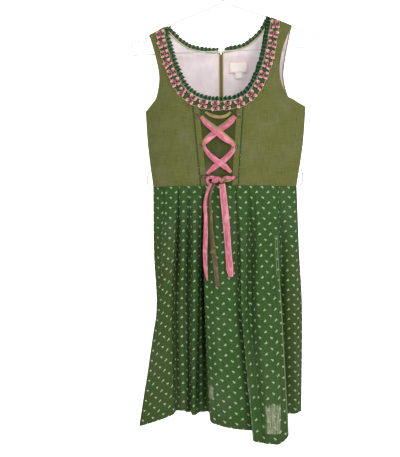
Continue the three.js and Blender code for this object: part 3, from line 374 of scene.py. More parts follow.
def on_bodice(facing, x, z, lift=0.0):
    """Points on the outside of the front (-1) or the back (1), lifted off the cloth, and normals."""
    fullness = front_fullness if facing < 0 else back_fullness
    x, z = np.broadcast_arrays(np.asarray(x, float), np.asarray(z, float))

    def surface(px, pz):
        return np.stack([px, facing * depth(fullness, px, pz), pz], -1)

    step = 0.5
    across = surface(x + step, z) - surface(x - step, z)
    up = surface(x, z + step) - surface(x, z - step)
    normal = -facing * np.cross(across, up)
    normal /= np.linalg.norm(normal, axis=-1, keepdims=True)
    return surface(x, z) + normal * np.asarray(lift, float)[..., None], normal


def piping_x(side, z):
    """x of a front seam at a height."""
    waist, top = PIPING[side]
    return waist + (top - waist) * (np.asarray(z, float) - WAIST_Z) / (PIPING_TOP_Z - WAIST_Z)


def neck_height(x):
    """Height of the front neck edge over x."""
    return np.interp(x, neck_front[:, 0], neck_front[:, 1])


def creased(x, z, creases):
    """Height of the listed creases at points of a flat piece."""
    height = np.zeros(np.broadcast(x, z).shape)
    for x0, z0, x1, z1, width, rise in creases:
        dx, dz = x1 - x0, z1 - z0
        length = math.hypot(dx, dz)
        run = ((x - x0) * dx + (z - z0) * dz) / length**2
        off = ((x - x0) * dz - (z - z0) * dx) / length
        bend = off + 2.5 * np.sin(3 * run + x0)
        fade = smoothstep(run, -0.25, 0.25) * smoothstep(-run, -1.25, -0.75)
        height += rise * fade * np.exp(-((bend / width) ** 2))
    return height


def rumple(points, grain, rise):
    """Fine unevenness of hanging cloth; grain is the size of a dent along x, y and z."""
    flat = points.reshape(-1, 3)
    scale = 1 / np.array(grain, float)
    values = [noise.noise(Vector(p)) for p in flat * scale]
    return rise * np.array(values).reshape(points.shape[:-1])


def grid_normals(grid):
    """Which way the outside of a grid of points faces."""
    across, up = np.gradient(grid, axis=1), np.gradient(grid, axis=0)
    normal = np.cross(across, up)
    return normal / np.maximum(np.linalg.norm(normal, axis=-1, keepdims=True), 1e-9)


# --- Making pieces --------------------------------------------------------------------------------


def only(obj):
    """Selects one object and nothing else."""
    bpy.ops.object.select_all(action="DESELECT")
    obj.select_set(True)
    bpy.context.view_layer.objects.active = obj


def with_modifier(obj, kind, **settings):
    """Adds a modifier and applies it."""
    modifier = obj.modifiers.new(kind.title(), kind)
    for name, value in settings.items():
        setattr(modifier, name, value)
    only(obj)
    bpy.ops.object.modifier_apply(modifier=modifier.name)


def smooth(obj, degrees=50):
    """Shades a piece smooth, apart from edges sharper than the angle."""
    only(obj)
    bpy.ops.object.shade_smooth_by_angle(angle=math.radians(degrees))
    return obj


def cloth(name, grid, uv, thickness, material, reverse=None, jumps=None):
    """A cloth piece from a grid of points, rows upwards and columns to the right from outside.

    uv is in millimetres of cloth. jumps gives, for each column of faces, its own uv at its left
    and right, where the print is cut by a pleat.
    """
    rows, columns = grid.shape[:2]
    ids = np.arange(rows * columns).reshape(rows, columns)
    faces = np.stack([ids[:-1, :-1], ids[:-1, 1:], ids[1:, 1:], ids[1:, :-1]], -1).reshape(-1, 4)
    mesh = bpy.data.meshes.new(name)
    mesh.from_pydata((grid.reshape(-1, 3) * MM).tolist(), [], faces.tolist())
    left, right = jumps if jumps else (uv[:, :-1], uv[:, 1:])
    corners = np.stack([left[:-1], right[:-1], right[1:], left[1:]], 2)
    mesh.uv_layers.new(name="cloth").data.foreach_set("uv", (corners.reshape(-1) * MM).astype(np.float32))
    obj = bpy.data.objects.new(name, mesh)
    bpy.context.collection.objects.link(obj)
    mesh.materials.append(material)
    if reverse:
        mesh.materials.append(reverse)
    with_modifier(obj, "SOLIDIFY", thickness=thickness * MM, offset=-1.0, material_offset=1 if reverse else 0)
    return smooth(obj)


def tube(name, points, radius, material, sides=3):
    """A round cord or wire through closely spaced points."""
    bpy.ops.object.select_all(action="DESELECT")
    bpy.ops.curve.primitive_nurbs_path_add(radius=1.0, location=(0, 0, 0))
    obj = bpy.context.object
    obj.name = name
    curve = obj.data
    curve.splines.clear()
    spline = curve.splines.new("POLY")
    spline.points.add(len(points) - 1)
    for point, place in zip(spline.points, points):
        point.co = (*(place * MM), 1.0)
    curve.bevel_depth = radius * MM
    curve.bevel_resolution = sides
    curve.use_fill_caps = True
    only(obj)
    bpy.ops.object.convert(target="MESH")
    obj = bpy.context.object
    obj.name = name
    obj.data.materials.clear()
    obj.data.materials.append(material)
    return smooth(obj)


def joined(name, objects):
    """Joins pieces into one."""
    bpy.ops.object.select_all(action="DESELECT")
    for obj in objects:
        obj.select_set(True)
    bpy.context.view_layer.objects.active = objects[0]
    if len(objects) > 1:
        bpy.ops.object.join()
    objects[0].name = name
    return objects[0]


def ribbon(name, centre, normals, widths, thickness, material, curl=0.0, twist=None):
    """A ribbon along sampled points; curl arches it across its width."""
    forward = np.gradient(centre, axis=0)
    forward /= np.linalg.norm(forward, axis=1, keepdims=True)
    across = np.cross(forward, normals)
    across /= np.linalg.norm(across, axis=1, keepdims=True)
    face = np.cross(across, forward)
    if twist is not None:
        cos, sin = np.cos(twist)[:, None], np.sin(twist)[:, None]
        across, face = across * cos + face * sin, face * cos - across * sin
    side = np.linspace(-0.5, 0.5, 9)
    arch = np.cos(np.pi * side) - 0.5
    curl = np.broadcast_to(curl, widths.shape)
    grid = (
        centre[:, None]
        + across[:, None] * (side[None, :, None] * widths[:, None, None])
        + face[:, None] * (arch[None, :, None] * curl[:, None, None])
    )
    run = run_length(centre)
    uv = np.stack(np.broadcast_arrays(side[None, :] * widths.mean(), run[:, None]), -1)
    return cloth(name, grid, uv, thickness, material)


def settle(piece, slot, *nodes):
    """Fastens a piece to the dress and hides the solids that it stands for."""
    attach(piece, "dress")
    if nodes:
        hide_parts(*nodes)


def cut_to(piece, width, length, area, held, *rests_on):
    """Takes the size that a sheet was cut to, in mm, and a shaped panel's area, in cm2, but keeps none of it.
    """
    area = area * 1e-4 if area else None
    width * MM
    length * MM


# --- Finishes -------------------------------------------------------------------------------------


class Tone:
    """A number on its way through a shader, so that a pattern reads as a sum."""

    def __init__(self, tree, socket):
        self.tree, self.socket = tree, socket

    def step(self, kind, *others):
        node = self.tree.nodes.new("ShaderNodeMath")
        node.operation = kind
        for place, value in enumerate((self, *others)):
            if isinstance(value, Tone):
                self.tree.links.new(value.socket, node.inputs[place])
            else:
                node.inputs[place].default_value = value
        return Tone(self.tree, node.outputs[0])

    def __add__(self, other):
        return self.step("ADD", other)

    def __sub__(self, other):
        return self.step("SUBTRACT", other)

    def __mul__(self, other):
        return self.step("MULTIPLY", other)

    def __truediv__(self, other):
        return self.step("DIVIDE", other)

    def between(self, low, high):
        """0 below low, 1 above high, and smooth between them; low may be the larger."""
        node = self.tree.nodes.new("ShaderNodeMapRange")
        node.interpolation_type = "SMOOTHSTEP"
        self.tree.links.new(self.socket, node.inputs["Value"])
        node.inputs["From Min"].default_value = low
        node.inputs["From Max"].default_value = high
        return Tone(self.tree, node.outputs["Result"])


class Finish:
    """A material with its shader, and the places that its patterns are drawn on."""

    def __init__(self, name, roughness, metallic=0.0, sheen=0.0, specular=0.3):
        self.material = bpy.data.materials.new(name)
        self.material.use_nodes = True
        self.tree = self.material.node_tree
        self.shader = self.tree.nodes["Principled BSDF"]
        self.shader.inputs["Roughness"].default_value = roughness
        self.shader.inputs["Metallic"].default_value = metallic
        self.shader.inputs["Sheen Weight"].default_value = sheen
        self.shader.inputs["Specular IOR Level"].default_value = specular

    def cloth_place(self):
        """The cloth's own width and length in millimetres."""
        node = self.tree.nodes.new("ShaderNodeUVMap")
        node.uv_map = "cloth"
        return self.split(node.outputs["UV"])[:2]

    def solid_place(self):
        node = self.tree.nodes.new("ShaderNodeTexCoord")
        return self.split(node.outputs["Object"])

    def split(self, socket):
        node = self.tree.nodes.new("ShaderNodeSeparateXYZ")
        self.tree.links.new(socket, node.inputs[0])
        return [Tone(self.tree, out) * 1000.0 for out in node.outputs]

    def vector(self, *parts):
        node = self.tree.nodes.new("ShaderNodeCombineXYZ")
        for place, part in enumerate(parts):
            if isinstance(part, Tone):
                self.tree.links.new(part.socket, node.inputs[place])
            else:
                node.inputs[place].default_value = part
        return node.outputs[0]

    def cloud(self, parts, detail=3.0, roughness=0.55):
        node = self.tree.nodes.new("ShaderNodeTexNoise")
        node.inputs["Scale"].default_value = 1.0
        node.inputs["Detail"].default_value = detail
        node.inputs["Roughness"].default_value = roughness
        self.tree.links.new(self.vector(*parts), node.inputs["Vector"])
        return Tone(self.tree, node.outputs["Fac"])

    def mix(self, share, first, second):
        """A colour between two; each is three numbers or a colour already mixed."""
        node = self.tree.nodes.new("ShaderNodeMix")
        node.data_type = "RGBA"
        sockets = [socket for socket in node.inputs if socket.type == "RGBA"]
        if isinstance(share, Tone):
            self.tree.links.new(share.socket, node.inputs[0])
        else:
            node.inputs[0].default_value = share
        for socket, colour in zip(sockets, (first, second)):
            if isinstance(colour, bpy.types.NodeSocket):
                self.tree.links.new(colour, socket)
            else:
                socket.default_value = (*colour[:3], 1.0)
        return next(out for out in node.outputs if out.type == "RGBA")

    def colour(self, socket):
        self.tree.links.new(socket, self.shader.inputs["Base Color"])
        return self

    def rough(self, tone):
        self.tree.links.new(tone.socket, self.shader.inputs["Roughness"])
        return self

    def relief(self, tone, height):
        """Raises the surface by up to height millimetres where the tone is 1."""
        node = self.tree.nodes.new("ShaderNodeBump")
        node.inputs["Strength"].default_value = 1.0
        node.inputs["Distance"].default_value = height * MM
        self.tree.links.new(tone.socket, node.inputs["Height"])
        self.tree.links.new(node.outputs[0], self.shader.inputs["Normal"])
        return self


def wave(tone, pitch):
    """A sine of 0 to 1 that repeats at the pitch."""
    return (tone * (2 * math.pi / pitch)).step("SINE") * 0.5 + 0.5


def weave(u, v, pitch):
    """Plain weave: threads that go over and under each other."""
    over = wave(u, pitch) * wave(v + pitch / 4, pitch * 2)
    under = wave(v, pitch) * (wave(v + pitch / 4, pitch * 2) * -1.0 + 1.0)
    return over + under


def shade(colour, factor):
    """A colour made darker or brighter."""
    return tuple(part * factor for part in colour[:3])


def blend_colour(first, second, share):
    """A colour part of the way from one to another."""
    return tuple(a + (b - a) * share for a, b in zip(first[:3], second[:3]))


GREY = (0.22, 0.21, 0.16)
BROWN = (0.09, 0.055, 0.02)
# Painted light: two places just above the hem where light from behind shines through the single layer of thin
# cloth, drawn as paler patches; left, right, lower and upper edge, and their colour.
BACKLIT_PATCHES = [
    (98, 128, -1024, -968, (0.27, 0.29, 0.19)), (-29, -15, -963, -934, (0.21, 0.22, 0.15)),
]


def linen_finish(name, colour, pitch=0.9):
    """Slubby plain linen: uneven threads both ways, and a slightly faded surface."""
    finish = Finish(name, 0.92, sheen=0.05, specular=0.08)
    u, v = finish.cloth_place()
    warp = finish.cloud((u * 1.1, v * 0.035, 0.0), 2.0)
    weft = finish.cloud((u * 0.035, v * 1.1, 4.0), 2.0)
    slub = (warp + weft) * 0.5
    faded = finish.cloud((u * 0.02, v * 0.02, 9.0), 3.0)
    threads = weave(u, v, pitch)
    tint = finish.mix(slub.between(0.34, 0.66), shade(colour, 0.72), shade(colour, 1.3))
    tint = finish.mix(faded.between(0.45, 0.75) * 0.35, tint, blend_colour(colour, GREY, 0.45))
    tint = finish.mix(threads.between(0.5, 0.0) * 0.3, tint, shade(colour, 0.55))
    finish.colour(tint)
    finish.relief(threads * 0.6 + slub * 1.1, 0.22)
    return finish.material


def sprig(u, v, turn, size):
    """One printed sprig round the middle of its cell: a leaf and two buds."""
    cos, sin = math.cos(turn), math.sin(turn)
    along_it, across_it = u * cos + v * sin, v * cos - u * sin
    spots = None
    for x, y, half_x, half_y in ((-1.2, 0.0, 2.6, 1.25), (1.9, 1.3, 1.9, 1.05), (1.9, -1.3, 1.7, 0.95)):
        dx = (along_it - x * size) / (half_x * size)
        dy = (across_it - y * size) / (half_y * size)
        spot = (dx * dx + dy * dy).between(1.35, 0.55)
        spots = spots.step("MAXIMUM", spot) if spots else spot
    return spots


def print_finish(name, cotton, ink, strength):
    """Printed dark cotton. Two rows of sprigs lean opposite ways, half a cell apart."""
    finish = Finish(name, 0.9, sheen=0.0, specular=0.06)
    u, v = finish.cloth_place()
    x, y, z = finish.solid_place()
    cell_u, cell_v, hem_depth = sizes().print_width, sizes().print_height, sizes().hem_depth
    marks = None
    for shift_u, shift_v, turn in ((0.0, 0.0, -0.55), (0.5, 0.5, 0.62)):
        local_u = ((u / cell_u + shift_u).step("FRACT") - 0.5) * cell_u
        local_v = ((v / cell_v + shift_v).step("FRACT") - 0.5) * cell_v
        leaf = sprig(local_u, local_v, turn, 0.86)
        marks = marks.step("MAXIMUM", leaf) if marks else leaf
    wear_and_highlight = finish.cloud((u * 0.9, v * 0.9, 2.0), 3.0)
    marks = marks * (wear_and_highlight.between(0.22, 0.5) * 0.35 + 0.65)
    warp = finish.cloud((u * 1.3, v * 0.04, 0.0), 2.0)
    weft = finish.cloud((u * 0.04, v * 1.3, 5.0), 2.0)
    streaks = (warp + weft) * 0.5
    faded = finish.cloud((u * 0.012, v * 0.006, 3.0), 3.0)
    threads = weave(u, v, 0.7)
    base = finish.mix(streaks.between(0.36, 0.64), shade(cotton, 0.76), shade(cotton, 1.26))
    base = finish.mix(faded.between(0.42, 0.72) * 0.5, base, blend_colour(cotton, GREY, 0.16))
    away = (x - 25.0).step("ABSOLUTE").between(60.0, 150.0) * z.between(-540.0, -700.0)
    base = finish.mix(away * 0.55, base, blend_colour(shade(cotton, 0.92), BROWN, 0.3))
    hem = v.between(hem_depth + 1.0, hem_depth - 1.0)
    base = finish.mix(hem * 0.35, base, blend_colour(shade(cotton, 0.85), (0.06, 0.045, 0.02), 0.3))
    seam = (v - hem_depth).step("ABSOLUTE").between(0.9, 0.3)
    stitch = seam * (u / 4.0).step("FRACT").between(0.42, 0.5)
    base = finish.mix(seam * 0.3, base, shade(cotton, 0.45))
    base = finish.mix(stitch * 0.5, base, shade(cotton, 1.9))
    tint = finish.mix(marks * strength, base, ink)
    # Painted light shining through the thin single layer of cloth at two places above the hem, on the front
    # only.
    for left, right, low, high, colour in BACKLIT_PATCHES:
        ragged = finish.cloud((x * 0.16, 5.0, z * 0.05), 3.0) * 16.0 - 8.0
        patch = (x + ragged).between(left - 2.0, left + 3.0) * x.between(right + 0.8, right - 0.8)
        patch = patch * z.between(low - 0.8, low + 0.8) * (z - ragged * 1.4).between(high + 4.0, high - 4.0)
        down = finish.cloud((x * 0.5, 1.0, z * 0.045), 3.0) * 0.6
        over = finish.cloud((x * 0.08, 3.0, z * 0.9), 3.0) * 0.4
        thin = (down + over).between(0.36, 0.6)
        tint = finish.mix(patch * y.between(-50.0, -60.0) * thin * 0.95, tint, colour)
    finish.colour(tint)
    finish.relief(threads * 0.6 + streaks * 0.7 - seam * 1.2, 0.2)
    return finish.material


def ruffle_finish(name, cotton, ink):
    """The skirt's cotton in a gathered strip: painted shade darkens the gathers, the print shows only on the
    crests, and the crests near the edge are paler, partly faded and partly painted highlight.
    """
    finish = Finish(name, 0.88, specular=0.08)
    u, v = finish.cloth_place()
    pitch, height = sizes().ruffle_pitch, sizes().ruffle_height
    crest = wave(u - pitch / 4, pitch).between(0.35, 0.95)
    spots = finish.cloud((u * 0.31, v * 0.45, 3.0), 1.0).between(0.56, 0.66)
    streaks = finish.cloud((u * 1.1, v * 0.3, 0.0), 3.0)
    base = finish.mix(streaks.between(0.35, 0.65), shade(cotton, 0.7), shade(cotton, 1.35))
    # Painted shade in the gathers between the crests.
    base = finish.mix((crest * -1.0 + 1.0) * 0.75, base, shade(cotton, 0.2))
    # The print shows only on the crests and is lost in the painted shade of the gathers.
    base = finish.mix(spots * crest * 0.6, base, shade(ink, 0.8))
    # Near the edge the crests are paler: partly faded cloth, partly painted highlight.
    wear_and_highlight = v.between(height - 3.6, height - 0.4) * crest * streaks.between(0.3, 0.5)
    finish.colour(finish.mix(wear_and_highlight * 0.75, base, shade(ink, 0.5)))
    finish.relief(weave(u, v, 0.7) * 0.6 + streaks, 0.2)
    return finish.material


def satin_finish(name, colour, edge):
    """Ribbon satin: fine ribs across, a bright sheen, paler woven edges, and blotches of painted sheen and
    painted shade.
    """
    finish = Finish(name, 0.36, sheen=0.1, specular=0.45)
    u, v = finish.cloth_place()
    ribs = wave(v, 0.8)
    flow = finish.cloud((u * 0.55, v * 0.05, 1.0), 2.0)
    sheen_and_shade = finish.cloud((u * 0.12, v * 0.045, 6.0), 2.0)
    tint = finish.mix(flow.between(0.35, 0.65), shade(colour, 0.68), shade(colour, 1.15))
    # Painted shade in the darker blotches and painted sheen in the paler ones.
    tint = finish.mix(sheen_and_shade.between(0.46, 0.36) * 0.5, tint, shade(colour, 0.55))
    tint = finish.mix(sheen_and_shade.between(0.52, 0.66) * 0.55, tint, edge)
    selvedge = u.step("ABSOLUTE").between(5.0, 5.7) * 0.5
    finish.colour(finish.mix(selvedge, tint, edge))
    finish.rough(flow * 0.25 + 0.24)
    finish.relief(ribs * 0.4 + flow * 0.8, 0.12)
    return finish.material


def petal_finish(name, colour, tip, heart):
    """Folded ribbon, with a painted highlight at the open tips and on the rims, and painted shade in the
    hollows and at the pinched middle.
    """
    finish = Finish(name, 0.4, sheen=0.3, specular=0.5)
    u, v = finish.cloth_place()
    flow = finish.cloud((u * 0.9, v * 0.25, 2.0), 2.0)
    rim = u.step("ABSOLUTE").between(1.2, 2.6)
    # Painted highlight at the open tips and on the rims, painted shade in the hollows between the rims and at
    # the pinched middle.
    tint = finish.mix(v.between(7.0, 11.5) * 0.6, colour, tip)
    tint = finish.mix(rim * flow.between(0.3, 0.5) * 0.7, tint, tip)
    tint = finish.mix((rim * -1.0 + 1.0) * v.between(9.5, 4.0) * 0.85, tint, shade(colour, 0.22))
    tint = finish.mix(v.between(4.2, 1.4) * 0.9, tint, heart)
    finish.colour(tint)
    finish.relief(wave(u, 0.7) * 0.5 + flow, 0.15)
    return finish.material


def lining_finish(name, colour):
    """Fine, soft plain weave."""
    finish = Finish(name, 0.85, sheen=0.2, specular=0.2)
    u, v = finish.cloth_place()
    soft = finish.cloud((u * 0.03, v * 0.02, 1.0), 4.0)
    threads = weave(u, v, 0.6)
    tint = finish.mix(soft.between(0.35, 0.7), shade(colour, 0.9), shade(colour, 1.06))
    finish.colour(finish.mix(threads.between(0.45, 0.0) * 0.2, tint, shade(colour, 0.75)))
    finish.relief(threads * 0.4 + soft * 6.0, 0.25)
    return finish.material


def cord_finish(name, colour, pitch, roughness=0.7):
    """Twisted thread: slanting turns, darker between them."""
    finish = Finish(name, roughness, sheen=0.2, specular=0.25)
    x, y, z = finish.solid_place()
    turns = wave(x * 0.7 + y * 0.7 + z * 1.2, pitch)
    fuzz = finish.cloud((x * 1.2, y * 1.2, z * 1.2), 2.0)
    tint = finish.mix(turns, shade(colour, 0.55), shade(colour, 1.15))
    finish.colour(finish.mix(fuzz.between(0.45, 0.75) * 0.4, tint, shade(colour, 1.4)))
    finish.relief(turns, 0.2)
    return finish.material


def metal_finish(name, dark, bright, roughness):
    """Antiqued metal: dark patina and rubbed bright metal, in uneven blotches."""
    finish = Finish(name, roughness, metallic=0.9, specular=0.5)
    x, y, z = finish.solid_place()
    patina = finish.cloud((x * 0.55, y * 0.55, z * 0.55), 5.0)
    finish.colour(finish.mix(patina.between(0.4, 0.66), dark, bright))
    finish.rough(patina * 0.35 + (roughness - 0.15))
    finish.relief(patina, 0.12)
    return finish.material


def paint_finish(name, colour):
    """Slightly uneven paint on wire."""
    finish = Finish(name, 0.35, specular=0.45)
    x, y, z = finish.solid_place()
    uneven = finish.cloud((x * 0.2, y * 0.2, z * 0.2), 4.0)
    finish.colour(finish.mix(uneven.between(0.55, 0.8) * 0.5, colour, shade(colour, 0.72)))
    finish.rough(uneven * 0.3 + 0.22)
    finish.relief(uneven, 0.05)
    return finish.material


def tape_finish(name, colour, edge):
    """Herringbone zip tape."""
    finish = Finish(name, 0.85, sheen=0.15, specular=0.2)
    u, v = finish.cloth_place()
    bones = wave(v + u.step("ABSOLUTE") * 1.2, 1.3)
    soft = finish.cloud((u * 0.3, v * 0.06, 1.0), 2.0)
    tint = finish.mix(bones, shade(colour, 0.75), shade(colour, 1.15))
    tint = finish.mix(soft.between(0.45, 0.7) * 0.3, tint, shade(colour, 1.3))
    finish.colour(finish.mix(u.step("ABSOLUTE").between(4.2, 4.9), tint, edge))
    finish.relief(bones, 0.18)
    return finish.material


def label_finish(name, colour, thread):
    """A plain woven label with a stitched border and no words."""
    finish = Finish(name, 0.6, sheen=0.2, specular=0.3)
    u, v = finish.cloth_place()
    ribs = wave(u, 0.5)
    border = (u.step("ABSOLUTE").between(17.6, 18.2)).step("MAXIMUM", v.step("ABSOLUTE").between(9.6, 10.2))
    stitch = border * (u + v).step("MODULO", 3.0).step("ABSOLUTE").between(1.3, 1.6) * 0.8
    tint = finish.mix(ribs, shade(colour, 0.9), colour)
    finish.colour(finish.mix(stitch, tint, thread))
    finish.relief(ribs * 0.5 + border, 0.12)
    return finish.material


# --- What a user can change -----------------------------------------------------------------------


def colour_property(name, description, default):
    return bpy.props.FloatVectorProperty(
        name=name, description=description, default=default, subtype="COLOR", size=3, min=0.0, max=1.0
    )


def length_property(name, description, default):
    return bpy.props.FloatProperty(name=name, description=description, default=default, min=0.01, max=400.0)


class DressColours(bpy.types.PropertyGroup):
    """Colours of the cloths, ribbons and metals."""

    linen: colour_property("Linen", "Bodice panels", (0.107, 0.113, 0.031))
    # The insert is a deeper green cloth, and its colour is darker still as painted shade under the lacing.
    insert: colour_property("Insert", "Strip behind the lacing", (0.046, 0.056, 0.013))
    piping: colour_property("Piping", "Cord in the front seams", (0.040, 0.070, 0.022))
    cotton: colour_property("Skirt cotton", "Ground of the skirt print", (0.034, 0.076, 0.020))
    ink: colour_property("Print", "Sprigs on the skirt", (0.36, 0.46, 0.29))
    reverse: colour_property("Skirt reverse", "Wrong side of the skirt cotton", (0.075, 0.115, 0.055))
    lining: colour_property("Lining", "Back lining", (0.76, 0.67, 0.68))
    facing: colour_property("Facing", "Folded edges of the lining", (0.78, 0.73, 0.52))
    ruffle: colour_property("Ruffle", "Gathered strip at the neck", (0.034, 0.105, 0.042))
    band: colour_property("Band", "Pleated neck band", (0.040, 0.080, 0.026))
    edge_cord: colour_property("Edge cord", "Pale cord along the band", (0.62, 0.40, 0.30))
    pink: colour_property("Pink satin", "Lacing and its free ends", (0.50, 0.115, 0.17))
    pale_pink: colour_property("Pale pink", "Sheen and edges of the satin", (0.70, 0.29, 0.35))
    petal: colour_property("Petals", "Ribbon bows of the band", (0.58, 0.15, 0.19))
    # Painted highlight at the open ends of the bows and painted shade at their pinched middles.
    petal_tip_highlight: colour_property("Petal tip highlight", "Open ends of the bows", (0.80, 0.50, 0.44))
    petal_heart_shade: colour_property("Petal heart shade", "Pinched middle of the bows", (0.12, 0.012, 0.02))
    olive: colour_property("Olive ribbon", "Ribbon under the lacing", (0.25, 0.17, 0.045))
    rust: colour_property("Olive ribbon end", "Free end of the olive ribbon", (0.080, 0.045, 0.011))
    zip_tape: colour_property("Zip tape", "Woven tape of the zip", (0.25, 0.20, 0.075))
    zip_metal: colour_property("Zip metal", "Slider, pull tab and teeth", (0.12, 0.11, 0.07))
    hook_dark: colour_property("Hook hollows", "Patina of the lacing hooks", (0.035, 0.022, 0.018))
    hook_bright: colour_property("Hook tops", "Rubbed metal of the lacing hooks", (0.34, 0.26, 0.21))
    thread: colour_property("Thread", "Loops at the side seams", (0.15, 0.10, 0.045))
    wire: colour_property("Wire", "Painted hanger wire", (0.50, 0.50, 0.49))
    label: colour_property("Label", "Plain woven label", (0.84, 0.78, 0.72))


class DressSizes(bpy.types.PropertyGroup):
    """Sizes in millimetres of what is drawn on, folded into or sewn to the cloth."""

    linen_thickness: length_property("Linen", "Thickness of the bodice linen", 1.1)
    cotton_thickness: length_property("Cotton", "Thickness of the skirt cotton", 1.0)
    ribbon_thickness: length_property("Ribbon", "Thickness of a ribbon", 0.4)
    print_width: length_property("Print width", "Distance from one sprig to the next across", 26.0)
    print_height: length_property("Print height", "Distance from one sprig to the next along", 22.0)
    hem_depth: length_property("Hem", "Depth of the turned-up hem", 22.0)
    ruffle_pitch: length_property("Ruffle pitch", "Length of one gather of the ruffle", 9.5)
    ruffle_height: length_property("Ruffle height", "How far the ruffle stands past the neck edge", 10.0)


def colours():
    """The colours that are set in the sidebar."""
    return bpy.context.scene.dress_colours


def sizes():
    """The sizes that are set in the sidebar."""
    return bpy.context.scene.dress_sizes


FINISHES = {}


def finish(name):
    """Makes each finish once, the first time that a piece asks for it."""
    c = colours()
    # The back ruffle shows the paler wrong side of the cotton, made half again brighter still as painted
    # light from behind.
    ruffle_reverse_backlit = shade(blend_colour(c.ruffle, c.reverse, 0.8), 1.5)
    makers = {
        "linen": lambda: linen_finish("linen", c.linen),
        "insert": lambda: linen_finish("insert linen", c.insert, 0.8),
        "piping": lambda: cord_finish("piping", c.piping, 1.6),
        "seam": lambda: cord_finish("linen edge", shade(c.linen, 0.9), 1.1),
        "print": lambda: print_finish("printed cotton", c.cotton, c.ink, 1.0),
        "reverse": lambda: print_finish("cotton wrong side", c.reverse, c.ink, 0.3),
        # Painted highlight: a far paler copy of the wrong side's colour for the rolled edges of the
        # knife-edge pleat, where the wrong side shows.
        "pleat_highlight": lambda: cord_finish("highlit pleat edge", shade(c.reverse, 2.4), 3.0),
        "ruffle": lambda: ruffle_finish("ruffle cotton", c.ruffle, c.ink),
        "ruffle_back": lambda: ruffle_finish("ruffle wrong side with painted backlight", ruffle_reverse_backlit, c.ink),
        "band": lambda: linen_finish("band", c.band, 0.6),
        "lining": lambda: lining_finish("lining", c.lining),
        "facing": lambda: cord_finish("facing", c.facing, 1.4),
        "edge_cord": lambda: cord_finish("edge cord", c.edge_cord, 1.0),
        "pink": lambda: satin_finish("pink satin", c.pink, c.pale_pink),
        "petal": lambda: petal_finish("petals", c.petal, c.petal_tip_highlight, c.petal_heart_shade),
        "olive": lambda: satin_finish("olive ribbon", c.olive, shade(c.olive, 1.6)),
        "rust": lambda: satin_finish("olive ribbon end", c.rust, shade(c.olive, 0.9)),
        "zip_tape": lambda: tape_finish("zip tape", c.zip_tape, c.facing),
        "zip_metal": lambda: metal_finish("zip metal", shade(c.zip_metal, 0.5), c.zip_metal, 0.4),
        "hook_metal": lambda: metal_finish("hook metal", c.hook_dark, c.hook_bright, 0.42),
        "thread": lambda: cord_finish("thread", c.thread, 0.9),
        "wire": lambda: paint_finish("painted wire", c.wire),
        "label": lambda: label_finish("label", c.label, c.pale_pink),
    }
    if name not in FINISHES:
        FINISHES[name] = makers[name]()
    return FINISHES[name]


# --- Camera and free ends -------------------------------------------------------------------------


class DRESS_OT_camera(bpy.types.Operator):
    """Place the camera level with the hips, a little to the right of the dress"""

    bl_idname = "dress.camera"
    bl_label = "Camera"

    def execute(self, context):
        distance, height, azimuth, turn, half_view = 1.6, -0.5954, 3.5, 1.81, 0.5141
        bpy.ops.object.camera_add(
            location=(
                distance * math.sin(math.radians(azimuth)),
                -distance * math.cos(math.radians(azimuth)),
                height,
            ),
            rotation=(math.radians(90), 0, math.radians(azimuth + turn)),
        )
        camera = context.object
        camera.name = "camera"
        camera.data.lens = camera.data.sensor_width / 2 * distance / half_view
        camera.data.clip_end = 50
        context.scene.camera = camera
        return {"FINISHED"}


def tail(name, stops, finish_name, slot, node, curl, cut):
    """A free end of the lacing, which hangs from the knot."""
    route = open_curve([stop[:3] for stop in stops])
    run = run_length(route)
    count = 60
    centre = along(route, np.linspace(0, 1, count))
    stop_run = [run[min(24 * i, len(run) - 1)] for i in range(len(stops))]
    widths = np.interp(np.linspace(0, run[-1], count), stop_run, [stop[3] for stop in stops])
    normals = np.tile([0.0, -1.0, 0.0], (count, 1))
    share = np.linspace(0, 1, count)
    twist = 0.35 * np.sin(5.0 * share + cut) * smoothstep(share, 0.0, 0.2)
    thickness = sizes().ribbon_thickness
    piece = ribbon(name, centre, normals, widths, thickness, finish(finish_name), curl, twist)
    settle(piece, slot, node)


class DRESS_OT_free_ends(bpy.types.Operator):
    """Hang the three free ends of the lacing from the knot"""

    bl_idname = "dress.free_ends"
    bl_label = "Free ends"

    def execute(self, context):
        tail("tail_pink_left", TAIL_PINK_LEFT, "pink", "pink_satin", "lace_tail_left", 1.0, 0.4)
        tail("tail_pink_right", TAIL_PINK_RIGHT, "pink", "pink_satin", "lace_tail_right", 1.4, 1.3)
        tail("tail_olive", TAIL_OLIVE, "rust", "olive_ribbon", "lace_tail_olive", 0.8, 2.6)
        return {"FINISHED"}


# --- Hanger ---------------------------------------------------------------------------------------


def hanger_lean(side, x, z):
    """A point of the hanger, which leans down on the left."""
    return (side * x, 0.0, z + LEAN * side * x)


